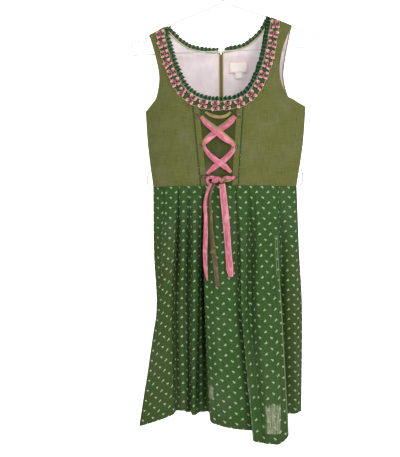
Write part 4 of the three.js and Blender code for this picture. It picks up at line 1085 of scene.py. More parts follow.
class DRESS_OT_hanger(bpy.types.Operator):
    """Bend the wire hanger: two arms, the lower bar, the hook and the twist under it"""

    bl_idname = "dress.hanger"
    bl_label = "Hanger"

    def execute(self, context):
        radius = 1.3
        reaches = np.arange(ARM["start"], ARM["reach"] + 1, ARM["stride"])
        arms = {}
        for side, rest in ((-1, [ARM_STOP]), (1, BAR)):
            points = [(side * reach, 0.0, float(arm_height(side * reach))) for reach in reaches]
            points += [hanger_lean(side, x, z) for x, z in ARM_END + rest]
            arms[side] = open_curve(points, 12)
        turns = np.pi * np.linspace(HOOK["from_turn"], HOOK["to_turn"], 14)
        centre_z = radius - HOOK["radius"]
        hook = [(-HOOK["radius"] * math.cos(a), 0.0, centre_z + HOOK["radius"] * math.sin(a)) for a in turns]
        hook = open_curve(hook + [(x, 0.0, z) for x, z in SHANK], 8)
        wraps = np.linspace(0, 1, 90)
        angle = wraps * 2 * np.pi * 3.5
        twist = np.stack([2.4 * np.cos(angle), 2.4 * np.sin(angle), -66 - 19 * wraps], -1)
        parts = [
            tube("wire_arm_left", arms[-1], radius, finish("wire")),
            tube("wire_arm_right", arms[1], radius, finish("wire")),
            tube("wire_hook", hook, radius, finish("wire")),
            tube("wire_twist", twist, 1.05, finish("wire")),
        ]
        piece = joined("hanger_wire", parts)
        settle(piece, "wire", "hanger_arm_left", "hanger_arm_right_bar", "hanger_hook")
        return {"FINISHED"}


# --- Bodice ---------------------------------------------------------------------------------------


def outer_edge(side, armhole, inset, up_to, rise):
    """The side seam from the waist to the underarm, then the armhole up to the shoulder."""
    outline = side_left if side < 0 else side_right
    underarm, bottom = armhole[0][1], WAIST_Z + GAP / 2
    low = np.minimum(rise / UNDERARM_SHARE, 1)
    z = bottom + (underarm - bottom) * low
    opening = along(even_line(armhole), np.clip((rise - UNDERARM_SHARE) / (1 - UNDERARM_SHARE), 0, 1) * up_to)
    seam = rise < UNDERARM_SHARE
    return np.where(seam, outline(z), opening[:, 0]) - side * inset, np.where(seam, z, opening[:, 1])


def front_inner_edge(side, rise):
    """The piping seam from the waist to the neck, then the neck edge up to the shoulder."""
    key = "left" if side < 0 else "right"
    join = share_at_x(neck_front, PIPING[key][1] - side * 2)
    join_z = along(neck_front, join)[1]
    bottom = WAIST_Z + GAP / 2
    z = bottom + (join_z - bottom) * np.minimum(rise / UNDERARM_SHARE, 1)
    up = np.clip((rise - UNDERARM_SHARE) / (1 - UNDERARM_SHARE), 0, 1)
    edge = along(neck_front, join + ((0 if side < 0 else 1) - join) * up)
    seam = rise < UNDERARM_SHARE
    return np.where(seam, piping_x(key, z) + side * GAP / 2, edge[:, 0]), np.where(seam, z, edge[:, 1])


def back_inner_edge(side, clear, inset, up_to, rise):
    """The centre back from the waist to the neck, then the back neck edge up to the shoulder."""
    neck = neck_back_left if side < 0 else neck_back_right
    x = CENTRE_X + side * clear
    join = share_at_x(neck, x)
    top, bottom = along(neck, join)[1] - inset, WAIST_Z + GAP / 2
    z = bottom + (top - bottom) * np.minimum(rise / BACK_SHARE, 1)
    up = np.clip((rise - BACK_SHARE) / (1 - BACK_SHARE), 0, 1) * up_to
    edge = along(neck, join + ((0 if side < 0 else 1) - join) * up)
    seam = rise < BACK_SHARE
    return np.where(seam, x, edge[:, 0]), np.where(seam, z, edge[:, 1] - inset)


def bodice_grid(facing, left, right, columns, lift, creases):
    """Points of a panel between its left and right edges, with its creases, and its uv."""
    share = np.linspace(0, 1, columns + 1)[None, :]
    x = left[0][:, None] + (right[0] - left[0])[:, None] * share
    z = left[1][:, None] + (right[1] - left[1])[:, None] * share
    points, normals = on_bodice(facing, x, z, lift)
    height = creased(x, z, creases) + rumple(points, (38, 60, 55), 1.5) + rumple(points, (9, 20, 14), 0.3)
    edge = np.minimum(share, 1 - share) * columns
    quiet = smoothstep(np.minimum(edge, 6), 0, 5)
    rows = np.arange(x.shape[0])
    quiet = quiet * smoothstep(np.minimum(rows, rows[::-1]), 0, 5)[:, None]
    points = points + normals * (height * quiet * 1.7)[..., None]
    return points, np.stack([x, z], -1)


def panel_rise(rows):
    """Shares of the way up a panel, closer together at the shoulder."""
    return 1 - (1 - np.linspace(0, 1, rows + 1)) ** SHOULDER_ROWS


def edge_roll(name, facing, line, lift, radius, finish_name):
    """A folded edge of a neck, an armhole or a seam, as a thin cord of its cloth."""
    points, _ = on_bodice(facing, line[:, 0], line[:, 1], lift)
    return tube(name, points, radius, finish(finish_name))


class DRESS_OT_bodice(bpy.types.Operator):
    """Sew the four linen panels of the bodice"""

    bl_idname = "dress.bodice"
    bl_label = "Bodice"

    def execute(self, context):
        rise, thickness = panel_rise(150), sizes().linen_thickness
        for side, key in ((-1, "left"), (1, "right")):
            outer = outer_edge(side, ARMHOLES["front_" + key], 0, 1, rise)
            inner = front_inner_edge(side, rise)
            left, right = (outer, inner) if side < 0 else (inner, outer)
            grid, uv = bodice_grid(-1, left, right, 70, 0.0, FRONT_CREASES)
            front = cloth("linen_front_" + key, grid, uv, thickness, finish("linen"), finish("lining"))
            settle(front, "linen", "bodice_front_" + key)
            cut_to(front, *CUTS[front.name], "hung", "hanger_wire")

            outer = outer_edge(side, ARMHOLES["back_" + key], 0, 1, rise)
            inner = back_inner_edge(side, 1.2, 0, 1, rise)
            left, right = (inner, outer) if side < 0 else (outer, inner)
            grid, uv = bodice_grid(1, left, right, 70, 0.0, BACK_CREASES)
            back = cloth("linen_back_" + key, grid, uv, thickness, finish("linen"))
            settle(back, "linen", "bodice_back_" + key)
            cut_to(back, *CUTS[back.name], "hung", "hanger_wire")
        return {"FINISHED"}


class DRESS_OT_front_strip(bpy.types.Operator):
    """Sew the insert, the two plackets and the piping of the front"""

    bl_idname = "dress.front_strip"
    bl_label = "Front strip"

    def execute(self, context):
        rows, columns = 90, 50
        up = np.linspace(0, 1, rows + 1)[:, None]
        over = np.linspace(0, 1, columns + 1)[None, :]
        top_x = PIPING["left"][1] + 2 + (PIPING["right"][1] - PIPING["left"][1] - 4) * over
        bottom = WAIST_Z + GAP / 2
        z = bottom + (neck_height(top_x) - bottom) * up
        left, right = piping_x("left", z) + GAP / 2, piping_x("right", z) - GAP / 2
        x = left + (right - left) * over
        points, normals = on_bodice(-1, x, z)
        height = creased(x, z, FRONT_CREASES) + rumple(points, (20, 40, 40), 0.7)
        points = points + normals * (height * smoothstep(np.minimum(over, 1 - over), 0, 0.06))[..., None]
        insert = cloth("insert_panel", points, np.stack([x, z], -1), 1.0, finish("insert"), finish("lining"))
        settle(insert, "insert", "front_insert")
        cut_to(insert, *CUTS[insert.name], "hung", "linen_front_left")

        for side, key in ((-1, "left"), (1, "right")):
            offsets = np.linspace(2.3, 14.5, 9) if side < 0 else np.linspace(-14.5, -2.3, 9)
            top = neck_height(PIPING[key][1] + offsets) - 2 * BAND_HALF - 1.0
            z = (WAIST_Z + GAP) + (top[None, :] - WAIST_Z - GAP) * up
            x = piping_x(key, z) + offsets[None, :]
            edge = np.abs(np.linspace(-1, 1, 9))[None, :]
            points, normals = on_bodice(-1, x, z, 1.5 - 0.45 * edge**6)
            points = points + normals * (rumple(points, (30, 30, 30), 0.3))[..., None]
            strip = cloth("placket_strip_" + key, points, np.stack([x, z], -1), 0.9, finish("linen"))
            settle(strip, "linen", "placket_" + key)
            cut_to(strip, *CUTS[strip.name], "hung", "insert_panel")
            z = np.linspace(WAIST_Z + GAP, neck_height(PIPING[key][1]) - 2 * BAND_HALF - 1, 80)
            route, _ = on_bodice(-1, piping_x(key, z), z, 0.7)
            cord = tube("piping_cord_" + key, route, 0.95, finish("piping"))
            stitches = []
            for height in LOOSE_STITCHES[key]:
                ends = WAIST_Z + np.array([height, height + 2.0])
                seat, _ = on_bodice(-1, piping_x(key, ends) + 0.2, ends, 1.7)
                stitches.append(tube("stitch", seat, 0.28, finish("facing"), sides=1))
            settle(joined("piping_cord_" + key, [cord, *stitches]), "piping", "piping_" + key)
        return {"FINISHED"}


class DRESS_OT_lining(bpy.types.Operator):
    """Line the back, and roll the edges of the armholes and the neck"""

    bl_idname = "dress.lining"
    bl_label = "Lining and edges"

    def execute(self, context):
        rise = panel_rise(110)
        softer = [(*crease[:5], 0.7 * crease[5]) for crease in BACK_CREASES]
        for side, key in ((-1, "left"), (1, "right")):
            outer = outer_edge(side, ARMHOLES["back_" + key], 1.2, 0.97, rise)
            inner = back_inner_edge(side, 5.6, 2.4, 0.97, rise)
            left, right = (inner, outer) if side < 0 else (outer, inner)
            grid, uv = bodice_grid(1, left, right, 50, -2.2, softer)
            lining = cloth("back_lining_" + key, grid, uv, 0.7, finish("lining"))
            settle(lining, "lining", "lining_back_" + key)
            cut_to(lining, *CUTS[lining.name], "hung", "linen_back_" + key)

            share = np.linspace(0.0, 1.0, 70)
            rolls = []
            for facing, word in ((-1, "front_"), (1, "back_")):
                line = along(even_line(ARMHOLES[word + key]), share)
                rolls.append(edge_roll("armhole_" + word + key, facing, line, -0.45, 0.62, "seam"))
            settle(joined("rolled_edges_" + key, rolls), "linen")

            neck = neck_back_left if side < 0 else neck_back_right
            z = np.linspace(ZIP_TOP, WAIST_Z, 60)
            beside_zip = np.stack([np.full(60, CENTRE_X + side * 5.7), z], -1)
            inner_arm = along(even_line(ARMHOLES["back_" + key]), share) - np.array([side * 1.6, 0])
            binding = [
                edge_roll("facing_neck", 1, beside(neck, share * 0.94 + 0.03, -2.6), -3.2, 0.75, "facing"),
                edge_roll("facing_rim", 1, along(neck, share), -2.0, 0.85, "facing"),
                edge_roll("facing_zip", 1, beside_zip, -3.3, 0.7, "facing"),
                edge_roll("facing_arm", 1, inner_arm, -3.0, 0.6, "edge_cord"),
            ]
            settle(joined("lining_edges_" + key, binding), "lining")
            seam_line = beside(neck, np.linspace(0.02, 0.9, 60), -9.5)
            settle(edge_roll("yoke_seam_" + key, 1, seam_line, -3.0, 0.4, "lining"), "lining")
        return {"FINISHED"}


class DRESS_OT_label(bpy.types.Operator):
    """Sew the plain label and its small tab inside the back neck"""

    bl_idname = "dress.label"
    bl_label = "Label"

    def execute(self, context):
        pieces = []
        for x0, x1, z0, z1, lift in (
            (LABEL["right"], LABEL["left"], LABEL["bottom"], LABEL["top"], -4.1),
            (44.0, 28.0, -252.0, -238.0, -3.9),
        ):
            x = np.linspace(x0, x1, 25)[None, :]
            z = np.linspace(z0, z1, 17)[:, None]
            points, normals = on_bodice(1, x + 0 * z, z + 0 * x, lift)
            points = points - normals * (0.5 * np.sin(x / 7 + z / 9) + 0.3)[..., None]
            middle = np.array([(x0 + x1) / 2, (z0 + z1) / 2])
            uv = np.stack(np.broadcast_arrays(x + 0 * z, z + 0 * x), -1) - middle
            pieces.append(cloth("label_piece", points, uv, 0.35, finish("label")))
        piece = joined("plain_label", pieces)
        settle(piece, "label", "neck_label")
        cut_to(piece, *CUTS[piece.name], "hung", "back_lining_right")
        return {"FINISHED"}


# --- Skirt ----------------------------------------------------------------------------------------


def fold_table(levels):
    """Every fold line at the given shares of the drop: an array of levels, folds and x y z."""
    top = WAIST_Z - GAP / 2
    lines = []
    for order, (_, waist, hip, knee, hem) in enumerate(SKIRT_FOLDS):
        facing = -1 if order <= FOLD_NAMES.index("side_right") else 1
        start = on_bodice(facing, waist, top)[0]
        drop = hem[2] - top
        stops = [
            (0, *start), (HIP_SHARE, *hip, top + drop * HIP_SHARE),
            (KNEE_SHARE, *knee, top + drop * KNEE_SHARE), (1, *hem),
        ]
        lines.append(np.stack([column(stops, key)(levels) for key in (1, 2, 3)], -1))
    return np.stack(lines, 1)


def round_hem(table, places):
    """Points round the skirt at places counted in folds."""
    count = table.shape[1]
    whole = np.floor(places).astype(int)
    share = (places - whole)[None, :, None]
    return spaced_hermite(share, *(table[:, (whole + k) % count] for k in (-1, 0, 1, 2)))


def deepened(places):
    """Places shifted away from the valleys, so that panels stay flat and valleys are sharp."""
    shifted = places.copy()
    for i, place in enumerate(places):
        low = int(math.floor(place))
        share = place - low
        from_valley = "valley" in FOLD_NAMES[low % len(FOLD_NAMES)]
        to_valley = "valley" in FOLD_NAMES[(low + 1) % len(FOLD_NAMES)]
        if to_valley and not from_valley:
            share = share**1.7
        elif from_valley and not to_valley:
            share = 1 - (1 - share) ** 1.7
        shifted[i] = low + share
    return shifted


def skirt_creased(places, levels):
    """Height of the listed creases of the skirt."""
    place, level = places[None, :], levels[:, None]
    height = np.zeros((len(levels), len(places)))
    for p0, t0, p1, t1, width, rise in SKIRT_CREASES:
        run = (level - t0) / (t1 - t0)
        off = place - (p0 + (p1 - p0) * np.clip(run, -0.2, 1.2)) - 0.03 * np.sin(9 * level + p0)
        fade = smoothstep(run, -0.12, 0.2) * smoothstep(-run, -1.12, -0.8)
        height += rise * fade * np.exp(-((off / (width * 1.6)) ** 2))
    return height


def skirt_relief(places, levels, grid, near_seam):
    """How far creases, gathers, pleats and the hem's seam raise or sink the points of a width."""
    count = len(FOLD_NAMES)
    gather = np.exp(-levels / 0.05)[:, None] * np.sin(places * 14.0 + 1.7 * np.sin(places * 3.1))[None, :]
    valley = np.zeros(len(places))
    for k in range(count):
        if "valley" in FOLD_NAMES[k]:
            valley += np.exp(-(((places - k + count / 2) % count - count / 2) / 0.10) ** 2)
    pleat = -3.2 * valley[None, :] * np.exp(-(((levels - 0.06) / 0.14) ** 2))[:, None]
    pleat = pleat * smoothstep(levels, 0, 0.02)[:, None]
    height = skirt_creased(places, levels)
    height = height + rumple(grid, (26, 26, 150), 1.5) + rumple(grid, (9, 9, 30), 0.35)
    fade = smoothstep(levels, 0.0, 0.05)[:, None]
    height = (height * fade + 0.7 * gather + pleat) * near_seam[None, :]
    above_hem = (1 - levels) * SKIRT_DROP - sizes().hem_depth
    return height - 0.5 * np.exp(-((above_hem / 1.2) ** 2))[:, None]


def print_places(grid, places, levels, ends):
    """Where each column of faces lies on the printed cotton; the print starts anew in every valley."""
    start, end = ends
    steps = np.linalg.norm(np.diff(grid, axis=1), axis=2)
    run = np.concatenate([np.zeros((len(grid), 1)), np.cumsum(steps, 1)], 1)
    is_valley = {k: "valley" in FOLD_NAMES[k % len(FOLD_NAMES)] for k in range(start, end + 1)}
    anchors = [k for k in is_valley if not is_valley[k]]
    at_fold = {k: np.array([np.interp(k, places, row) for row in run]) for k in anchors}
    up = (1 - levels) * SKIRT_DROP
    left = np.empty((len(grid), len(places) - 1, 2))
    right = np.empty_like(left)
    for j, place in enumerate((places[1:] + places[:-1]) / 2):
        low = max([k for k in is_valley if is_valley[k] and k <= place], default=start)
        high = min([k for k in is_valley if is_valley[k] and k > place], default=end)
        inside = [k for k in anchors if low <= k <= high] or anchors
        anchor = min(inside, key=lambda k: abs(k - (low + high) / 2))
        base = at_fold[anchor][0] - at_fold[anchor]
        left[:, j] = np.stack([run[:, j] + base, up], -1)
        right[:, j] = np.stack([run[:, j + 1] + base, up], -1)
    return left, right


def skirt_piece(name, first, last, node):
    """A width of the skirt from one named fold to another."""
    start = FOLD_NAMES.index(first)
    folds = (FOLD_NAMES.index(last) - start) % len(FOLD_NAMES)
    past_first, past_last = (SIDE_OVERLAP if "side" in fold else BACK_OVERLAP for fold in (first, last))
    places = start + np.linspace(-past_first, folds + past_last, folds * COLUMNS_A_FOLD + 1)
    levels = (1 - np.linspace(0, 1, 121)) ** 1.15
    table = fold_table(levels)
    grid = round_hem(table, places)
    grid[..., 1] = round_hem(table, deepened(places))[..., 1]
    near_seam = smoothstep(np.minimum(places - start, start + folds - places), 0, 0.35)
    grid = grid + grid_normals(grid) * skirt_relief(places, levels, grid, near_seam)[..., None]
    marks = print_places(grid, places, levels, (start, start + folds))
    skirt = cloth(name, grid, None, sizes().cotton_thickness, finish("print"), finish("reverse"), marks)
    settle(skirt, "skirt_cotton", node)
    hem_run = run_length(grid[0])[-1]
    cut_to(skirt, hem_run, SKIRT_CUT, None, "gathered", "linen_front_left", "linen_back_left")


class DRESS_OT_skirt(bpy.types.Operator):
    """Sew the pleated skirt in three widths, with its turned-up hem"""

    bl_idname = "dress.skirt"
    bl_label = "Skirt"

    def execute(self, context):
        skirt_piece("skirt_width_front", "side_left", "side_right", "skirt_front")
        skirt_piece("skirt_width_back_right", "side_right_back", "centre_back", "skirt_back_right")
        skirt_piece("skirt_width_back_left", "centre_back", "side_left_back", "skirt_back_left")
        levels = (1 - np.linspace(0.005, 0.99, 70)) ** 1.1
        rim = round_hem(fold_table(levels), np.array([FOLD_NAMES.index("knife_edge") - 0.02]))[:, 0]
        rim = rim[levels > 0.2]
        # Two thin rolls along the folded edge of the knife-edge pleat, drawn far paler than the cloth as a
        # painted highlight.
        lines = [
            tube("highlit_pleat_edge", rim + np.array([shift, -out, 0.0]), 0.6, finish("pleat_highlight"))
            for out, shift in ((1.3, 0.0), (1.2, -4.2))
        ]
        settle(joined("highlit_pleat_edges", lines), "skirt_cotton")
        return {"FINISHED"}


# --- Zip ------------------------------------------------------------------------------------------


class DRESS_OT_zip(bpy.types.Operator):
    """Sew the zip into the centre back: its tape and its two rows of teeth"""

    bl_idname = "dress.zip"
    bl_label = "Zip"

    def execute(self, context):
        z = np.linspace(ZIP_TOP, ZIP_END, 160)
        above = z > WAIST_Z
        centre, _ = on_bodice(1, np.full(len(z), CENTRE_X), np.where(above, z, WAIST_Z), -ZIP_INSIDE)
        levels = np.clip((WAIST_Z - z) / (WAIST_Z - BACK_HEM_Z), 0, 1)
        below = fold_table(levels)[:, FOLD_NAMES.index("centre_back")]
        below = np.stack([below[:, 0], below[:, 1] - ZIP_INSIDE - 0.5, z], -1)
        centre = np.where(above[:, None], centre, below)
        over = np.linspace(-5.1, 5.1, 13)
        grid = centre[::-1, None] + np.array([-1.0, 0, 0]) * over[None, :, None]
        uv = np.stack(np.broadcast_arrays(over[None, :], z[::-1, None]), -1)
        tape = cloth("zip_tape_woven", grid, uv, 0.8, finish("zip_tape"))
        settle(tape, "zip_tape", "zip_tape")
        cut_to(tape, *CUTS[tape.name], "hung", "linen_back_left")

        bpy.ops.object.select_all(action="DESELECT")
        bpy.ops.mesh.primitive_cube_add(size=1.0, location=(0, 0, 0))
        tooth = bpy.context.object
        tooth.scale = (1.9 * MM, 0.9 * MM, 0.75 * MM)
        bpy.ops.object.transform_apply(location=False, rotation=False, scale=True)
        with_modifier(tooth, "BEVEL", width=0.18 * MM, segments=1)
        verts = [tuple(vertex.co) for vertex in tooth.data.vertices]
        faces = [tuple(polygon.vertices) for polygon in tooth.data.polygons]
        bpy.data.objects.remove(tooth)
        seats = along(centre, np.linspace(0.01, 0.995, 300))
        all_verts, all_faces = [], []
        for index, seat in enumerate(seats):
            shift = Vector(seat * MM) + Vector(((0.75 if index % 2 else -0.75) * MM, -1.3 * MM, 0))
            base = len(all_verts)
            all_verts += [Vector(vert) + shift for vert in verts]
            all_faces += [tuple(base + k for k in face) for face in faces]
        mesh = bpy.data.meshes.new("zip_teeth")
        mesh.from_pydata(all_verts, [], all_faces)
        mesh.materials.append(finish("zip_metal"))
        teeth = bpy.data.objects.new("zip_teeth", mesh)
        bpy.context.collection.objects.link(teeth)
        settle(smooth(teeth, 30), "zip_metal")
        for node in ("zip_slider", "zip_pull"):
            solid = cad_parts[node]
            solid.data.materials.clear()
            solid.data.materials.append(finish("zip_metal"))
        return {"FINISHED"}


# --- Neck trim ------------------------------------------------------------------------------------


def ruffle(key, facing, neck, span, seed, finish_name):
    """A gathered strip that stands past the neck edge; its gathers are all a little different."""
    share = np.linspace(*span, 1400 if facing < 0 else 700)
    length = run_length(neck)[-1] * (span[1] - span[0])
    wander = np.array([noise.noise(Vector((s * length / 30.0, seed, 0.0))) for s in share])
    phase = 2 * np.pi * (share - span[0]) / (span[1] - span[0]) * length / sizes().ruffle_pitch + 3.2 * wander
    tall = np.array([noise.noise(Vector((s * length / 9.0, seed, 5.0))) for s in share])
    rows = 9
    grid = []
    for row in range(rows + 1):
        up = row / rows
        rise = 0.6 + (sizes().ruffle_height - 1.0 + 1.8 * tall + 1.9 * np.cos(phase + 0.6) - 0.6) * up
        sway = 2.6 * np.cos(phase) * up
        place = np.clip(share + sway / run_length(neck)[-1], 0.001, 0.999)
        flat = beside(neck, place, rise)
        flute = (0.7 + 2.9 * up) * np.sin(phase) * (1 + 0.5 * wander)
        grid.append(on_bodice(facing, flat[:, 0], flat[:, 1], flute + 0.5)[0])
    up = np.linspace(0, sizes().ruffle_height, rows + 1)
    gathers = phase / (2 * np.pi) * sizes().ruffle_pitch
    onward = slice(None, None, -facing)
    grid = np.array(grid)[:, onward]
    uv = np.stack(np.broadcast_arrays(gathers[None, onward], up[:, None]), -1)
    piece = cloth("gathered_ruffle_" + key, grid, uv, 0.45, finish(finish_name))
    settle(piece, "ruffle_cotton", "neck_ruffle_" + key)
    cut_to(piece, run_length(grid[rows // 2])[-1], RUFFLE_CUT, None, "gathered", "linen_front_left")


class DRESS_OT_ruffles(bpy.types.Operator):
    """Gather the ruffle along the front neck and both back neck edges"""

    bl_idname = "dress.ruffles"
    bl_label = "Neck ruffle"

    def execute(self, context):
        ruffle("front", -1, neck_front, (0.006, 0.994), 1.3, "ruffle")
        ruffle("back_left", 1, neck_back_left, (0.03, 0.95), 4.1, "ruffle_back")
        ruffle("back_right", 1, neck_back_right, (0.05, 0.97), 7.7, "ruffle_back")
        return {"FINISHED"}


def bow_share(index):
    """Where along the neck a bow is sewn."""
    return BAND_FROM + BOW_MARGIN + (BAND_TO - BAND_FROM - 2 * BOW_MARGIN) * (index + 0.5) / BOW_COUNT


class DRESS_OT_neck_band(bpy.types.Operator):
    """Pleat the green band along the front neck and edge it with pale cords"""

    bl_idname = "dress.neck_band"
    bl_label = "Neck band"

    def execute(self, context):
        share = np.linspace(BAND_FROM, BAND_TO, 640)
        pitch = bow_share(1) - bow_share(0)
        phase = (share - bow_share(0)) / pitch
        at_bow = 0.5 + 0.5 * np.cos(2 * np.pi * phase)
        rows = 14
        grid = []
        for row in range(rows + 1):
            across = 2 * row / rows - 1
            spread = BAND_HALF * (1 - 0.09 * (1 - at_bow)) * across
            flat = beside(neck_front, share, -BAND_HALF + spread)
            raised = 1.5 * at_bow * (1 - 0.75 * (1 - abs(across)) ** 1.5)
            tuck = 1.1 * np.exp(-((np.mod(phase, 1) - 0.5) / 0.045) ** 2)
            puff = 1.3 + raised + 0.6 * np.cos(4 * np.pi * phase) - tuck
            grid.append(on_bodice(-1, flat[:, 0], flat[:, 1], puff)[0])
        grid = np.array(grid)
        run = run_length(grid[rows // 2])
        up = np.linspace(0, 2 * BAND_HALF, rows + 1)
        uv = np.stack(np.broadcast_arrays(run[None, :], up[:, None]), -1)
        band = cloth("pleated_band", grid, uv, 0.5, finish("band"))
        settle(band, "trim_band", "trim_band")
        cut_to(band, run[-1] * 1.05, 2 * BAND_HALF, None, "folded", "linen_front_left", "linen_front_right")
        cords = []
        for edge in (-1, 1):
            zigzag = BAND_HALF * edge * (0.93 - 0.12 * (1 - at_bow)) + 0.5 * np.sin(4 * np.pi * phase)
            flat = beside(neck_front, share, -BAND_HALF + zigzag)
            route, _ = on_bodice(-1, flat[:, 0], flat[:, 1], 2.4 + 1.2 * at_bow)
            cords.append(tube("edge_cord", route[::2], 0.5, finish("edge_cord"), sides=1))
        settle(joined("band_edge_cords", cords), "trim_band")
        return {"FINISHED"}


def petal_grid(angle, length, width, lean):
    """One petal of a bow: a folded pocket of ribbon that opens towards its tip."""
    rows, columns = 9, 10
    grid, uv = [], []
    for j in range(rows + 1):
        out = j / rows
        reach = 0.8 + (length - 0.8) * out
        half = width / 2 * (0.2 + 0.8 * math.sin(math.pi / 2 * min(out * 1.25, 1.0)))
        rim = 0.8 + 3.0 * math.sin(math.pi * (0.12 + 0.62 * out))
        line, mark = [], []
        for i in range(columns + 1):
            side = 2 * i / columns - 1
            fold = math.exp(-((abs(side) - 0.62) / 0.3) ** 2)
            height = 0.5 + rim * (0.28 + 0.72 * fold) - 0.5 * rim * max(abs(side) - 0.75, 0) * 4
            x = reach - 1.7 * out * side * side + lean * side * out
            y = side * half
            turned_x = x * math.cos(angle) - y * math.sin(angle)
            line.append((turned_x, x * math.sin(angle) + y * math.cos(angle), height))
            mark.append((side * half, reach))
        grid.append(line)
        uv.append(mark)
    return np.array(grid)[:, ::-1], np.array(uv)[:, ::-1]


def model_bow():
    """Four petals round a pinched middle, lying flat at the origin."""
    petals = []
    for turn, length, width, lean in (
        (41, 12.4, 7.2, 1.5), (139, 12.0, 6.8, -1.3), (-39, 11.8, 7.0, -1.6), (-141, 12.3, 7.4, 1.4),
    ):
        grid, uv = petal_grid(math.radians(turn), length, width, lean)
        petals.append(cloth("petal", grid, uv, 0.35, finish("petal")))
    bpy.ops.object.select_all(action="DESELECT")
    bpy.ops.mesh.primitive_torus_add(
        major_radius=1.5 * MM, minor_radius=0.8 * MM, major_segments=16, minor_segments=8,
        location=(0, 0, 1.5 * MM), rotation=(math.radians(90), 0, 0),
    )
    pinch = bpy.context.object
    bpy.ops.object.transform_apply(location=True, rotation=True, scale=True)
    pinch.data.materials.append(finish("edge_cord"))
    pinch.data.uv_layers[0].name = "cloth"
    return joined("bow_model", petals + [smooth(pinch)])


class DRESS_OT_bows(bpy.types.Operator):
    """Fold one ribbon bow and sew copies of it along the band"""

    bl_idname = "dress.bows"
    bl_label = "Bows"

    def execute(self, context):
        model = model_bow()
        for index in range(BOW_COUNT):
            share = bow_share(index)
            x, z = beside(neck_front, share, -BAND_HALF)
            point, normal = on_bodice(-1, x, z, 2.9)
            near_x, near_z = beside(neck_front, share + 0.004, -BAND_HALF)
            ahead = Vector(on_bodice(-1, near_x, near_z, 2.9)[0] - point).normalized()
            normal = Vector(normal)
            side = normal.cross(ahead).normalized()
            ahead = side.cross(normal)
            turn = Matrix((ahead, side, normal)).transposed().to_4x4()
            wobble = Matrix.Rotation(0.24 * math.sin(index * 2.4) + math.pi * (index % 2), 4, "Z")
            wobble = wobble @ Matrix.Rotation(0.16 * math.sin(index * 1.3), 4, "X")
            longer, wider = 0.98 + 0.09 * math.sin(index * 1.7 + 0.6), 0.99 + 0.10 * math.sin(index * 2.9)
            size = Matrix.Diagonal((longer, wider, 1.0, 1.0))
            mesh = model.data.copy()
            mesh.transform(Matrix.Translation(Vector(point) * MM) @ turn @ wobble @ size)
            bow = bpy.data.objects.new(f"petal_bow_{index + 1:02d}", mesh)
            context.collection.objects.link(bow)
            settle(bow, "trim_pink", f"trim_bow_{index + 1:02d}")
            cut_to(bow, *BOW_CUT, None, "folded", "pleated_band")
        bpy.data.objects.remove(model)
        return {"FINISHED"}


# --- Hooks and lacing -----------------------------------------------------------------------------


def model_hook():
    """A sewn-on hook: a base with two sewing rings, a boss and a hook bent over from its nose."""
    parts = []
    for x, y, major in ((3.6, 2.0, 1.9), (3.6, -2.0, 1.9), (0.4, 0.0, 3.1)):
        bpy.ops.object.select_all(action="DESELECT")
        bpy.ops.mesh.primitive_torus_add(
            major_radius=major * MM, minor_radius=0.62 * MM, major_segments=28, minor_segments=10,
            location=(x * MM, y * MM, 0.6 * MM),
        )
        parts.append(bpy.context.object)
    bpy.ops.object.select_all(action="DESELECT")
    boss_place = (0.2 * MM, 0, 1.4 * MM)
    bpy.ops.mesh.primitive_uv_sphere_add(segments=20, ring_count=12, radius=1.75 * MM, location=boss_place)
    boss = bpy.context.object
    bpy.ops.object.mode_set(mode="EDIT")
    bpy.ops.mesh.select_all(action="SELECT")
    bpy.ops.transform.resize(value=(1.15, 1.0, 0.75), center_override=boss_place)
    bpy.ops.object.mode_set(mode="OBJECT")
    parts.append(boss)
    for obj in parts:
        only(obj)
        bpy.ops.object.transform_apply(location=True, rotation=True, scale=True)
        obj.data.materials.append(finish("hook_metal"))
    bends = [(0.5, 0, 1.2), (-3.0, 0, 1.0), (-6.2, 0, 1.0), (-7.4, 0, 2.0), (-6.6, 0, 3.2), (-4.4, 0, 3.3)]
    nose = open_curve(bends, 8)
    parts.append(tube("hook_nose", nose, 0.75, finish("hook_metal")))
    return smooth(joined("hook_model", parts))


class DRESS_OT_hooks(bpy.types.Operator):
    """Make one lacing hook and sew on six of them"""

    bl_idname = "dress.hooks"
    bl_label = "Lacing hooks"

    def execute(self, context):
        model = model_hook()
        for name, x, z, inward in HOOKS:
            point, normal = on_bodice(-1, x, z, 1.7)
            normal = Vector(normal)
            away = Vector((-inward, 0, 0))
            side = normal.cross(away).normalized()
            turn = Matrix((side.cross(normal), side, normal)).transposed().to_4x4()
            mesh = model.data.copy()
            mesh.transform(Matrix.Translation(Vector(point) * MM) @ turn)
            hook = bpy.data.objects.new("lacing_hook_" + name, mesh)
            context.collection.objects.link(hook)
            settle(hook, "hook_metal", "hook_" + name)
        bpy.data.objects.remove(model)
        return {"FINISHED"}


def lace(name, stops, finish_name, drop=0.0, shift=(0.0, 0.0), narrower=0.0, curl=1.2):
    """A ribbon that crosses the front; each stop gives x, z, height above the cloth and width."""
    steps = 14
    flat = open_curve([(x + shift[0], z + shift[1], lift - drop) for x, z, lift, _ in stops], steps)
    stop_at = np.arange(len(stops)) * steps
    widths = np.interp(np.arange(len(flat)), stop_at, [max(stop[3] - narrower, 2.5) for stop in stops])
    widths = np.convolve(np.pad(widths, 4, mode="edge"), np.ones(9) / 9, mode="valid")
    centre, normals = on_bodice(-1, flat[:, 0], flat[:, 1], flat[:, 2])
    bend = curl * (1.2 + 0.9 * np.sin(np.arange(len(flat)) / 7.0 + widths[0]))
    piece = ribbon(name, centre, normals, widths, sizes().ribbon_thickness, finish(finish_name), bend)
    return piece, run_length(centre)[-1]


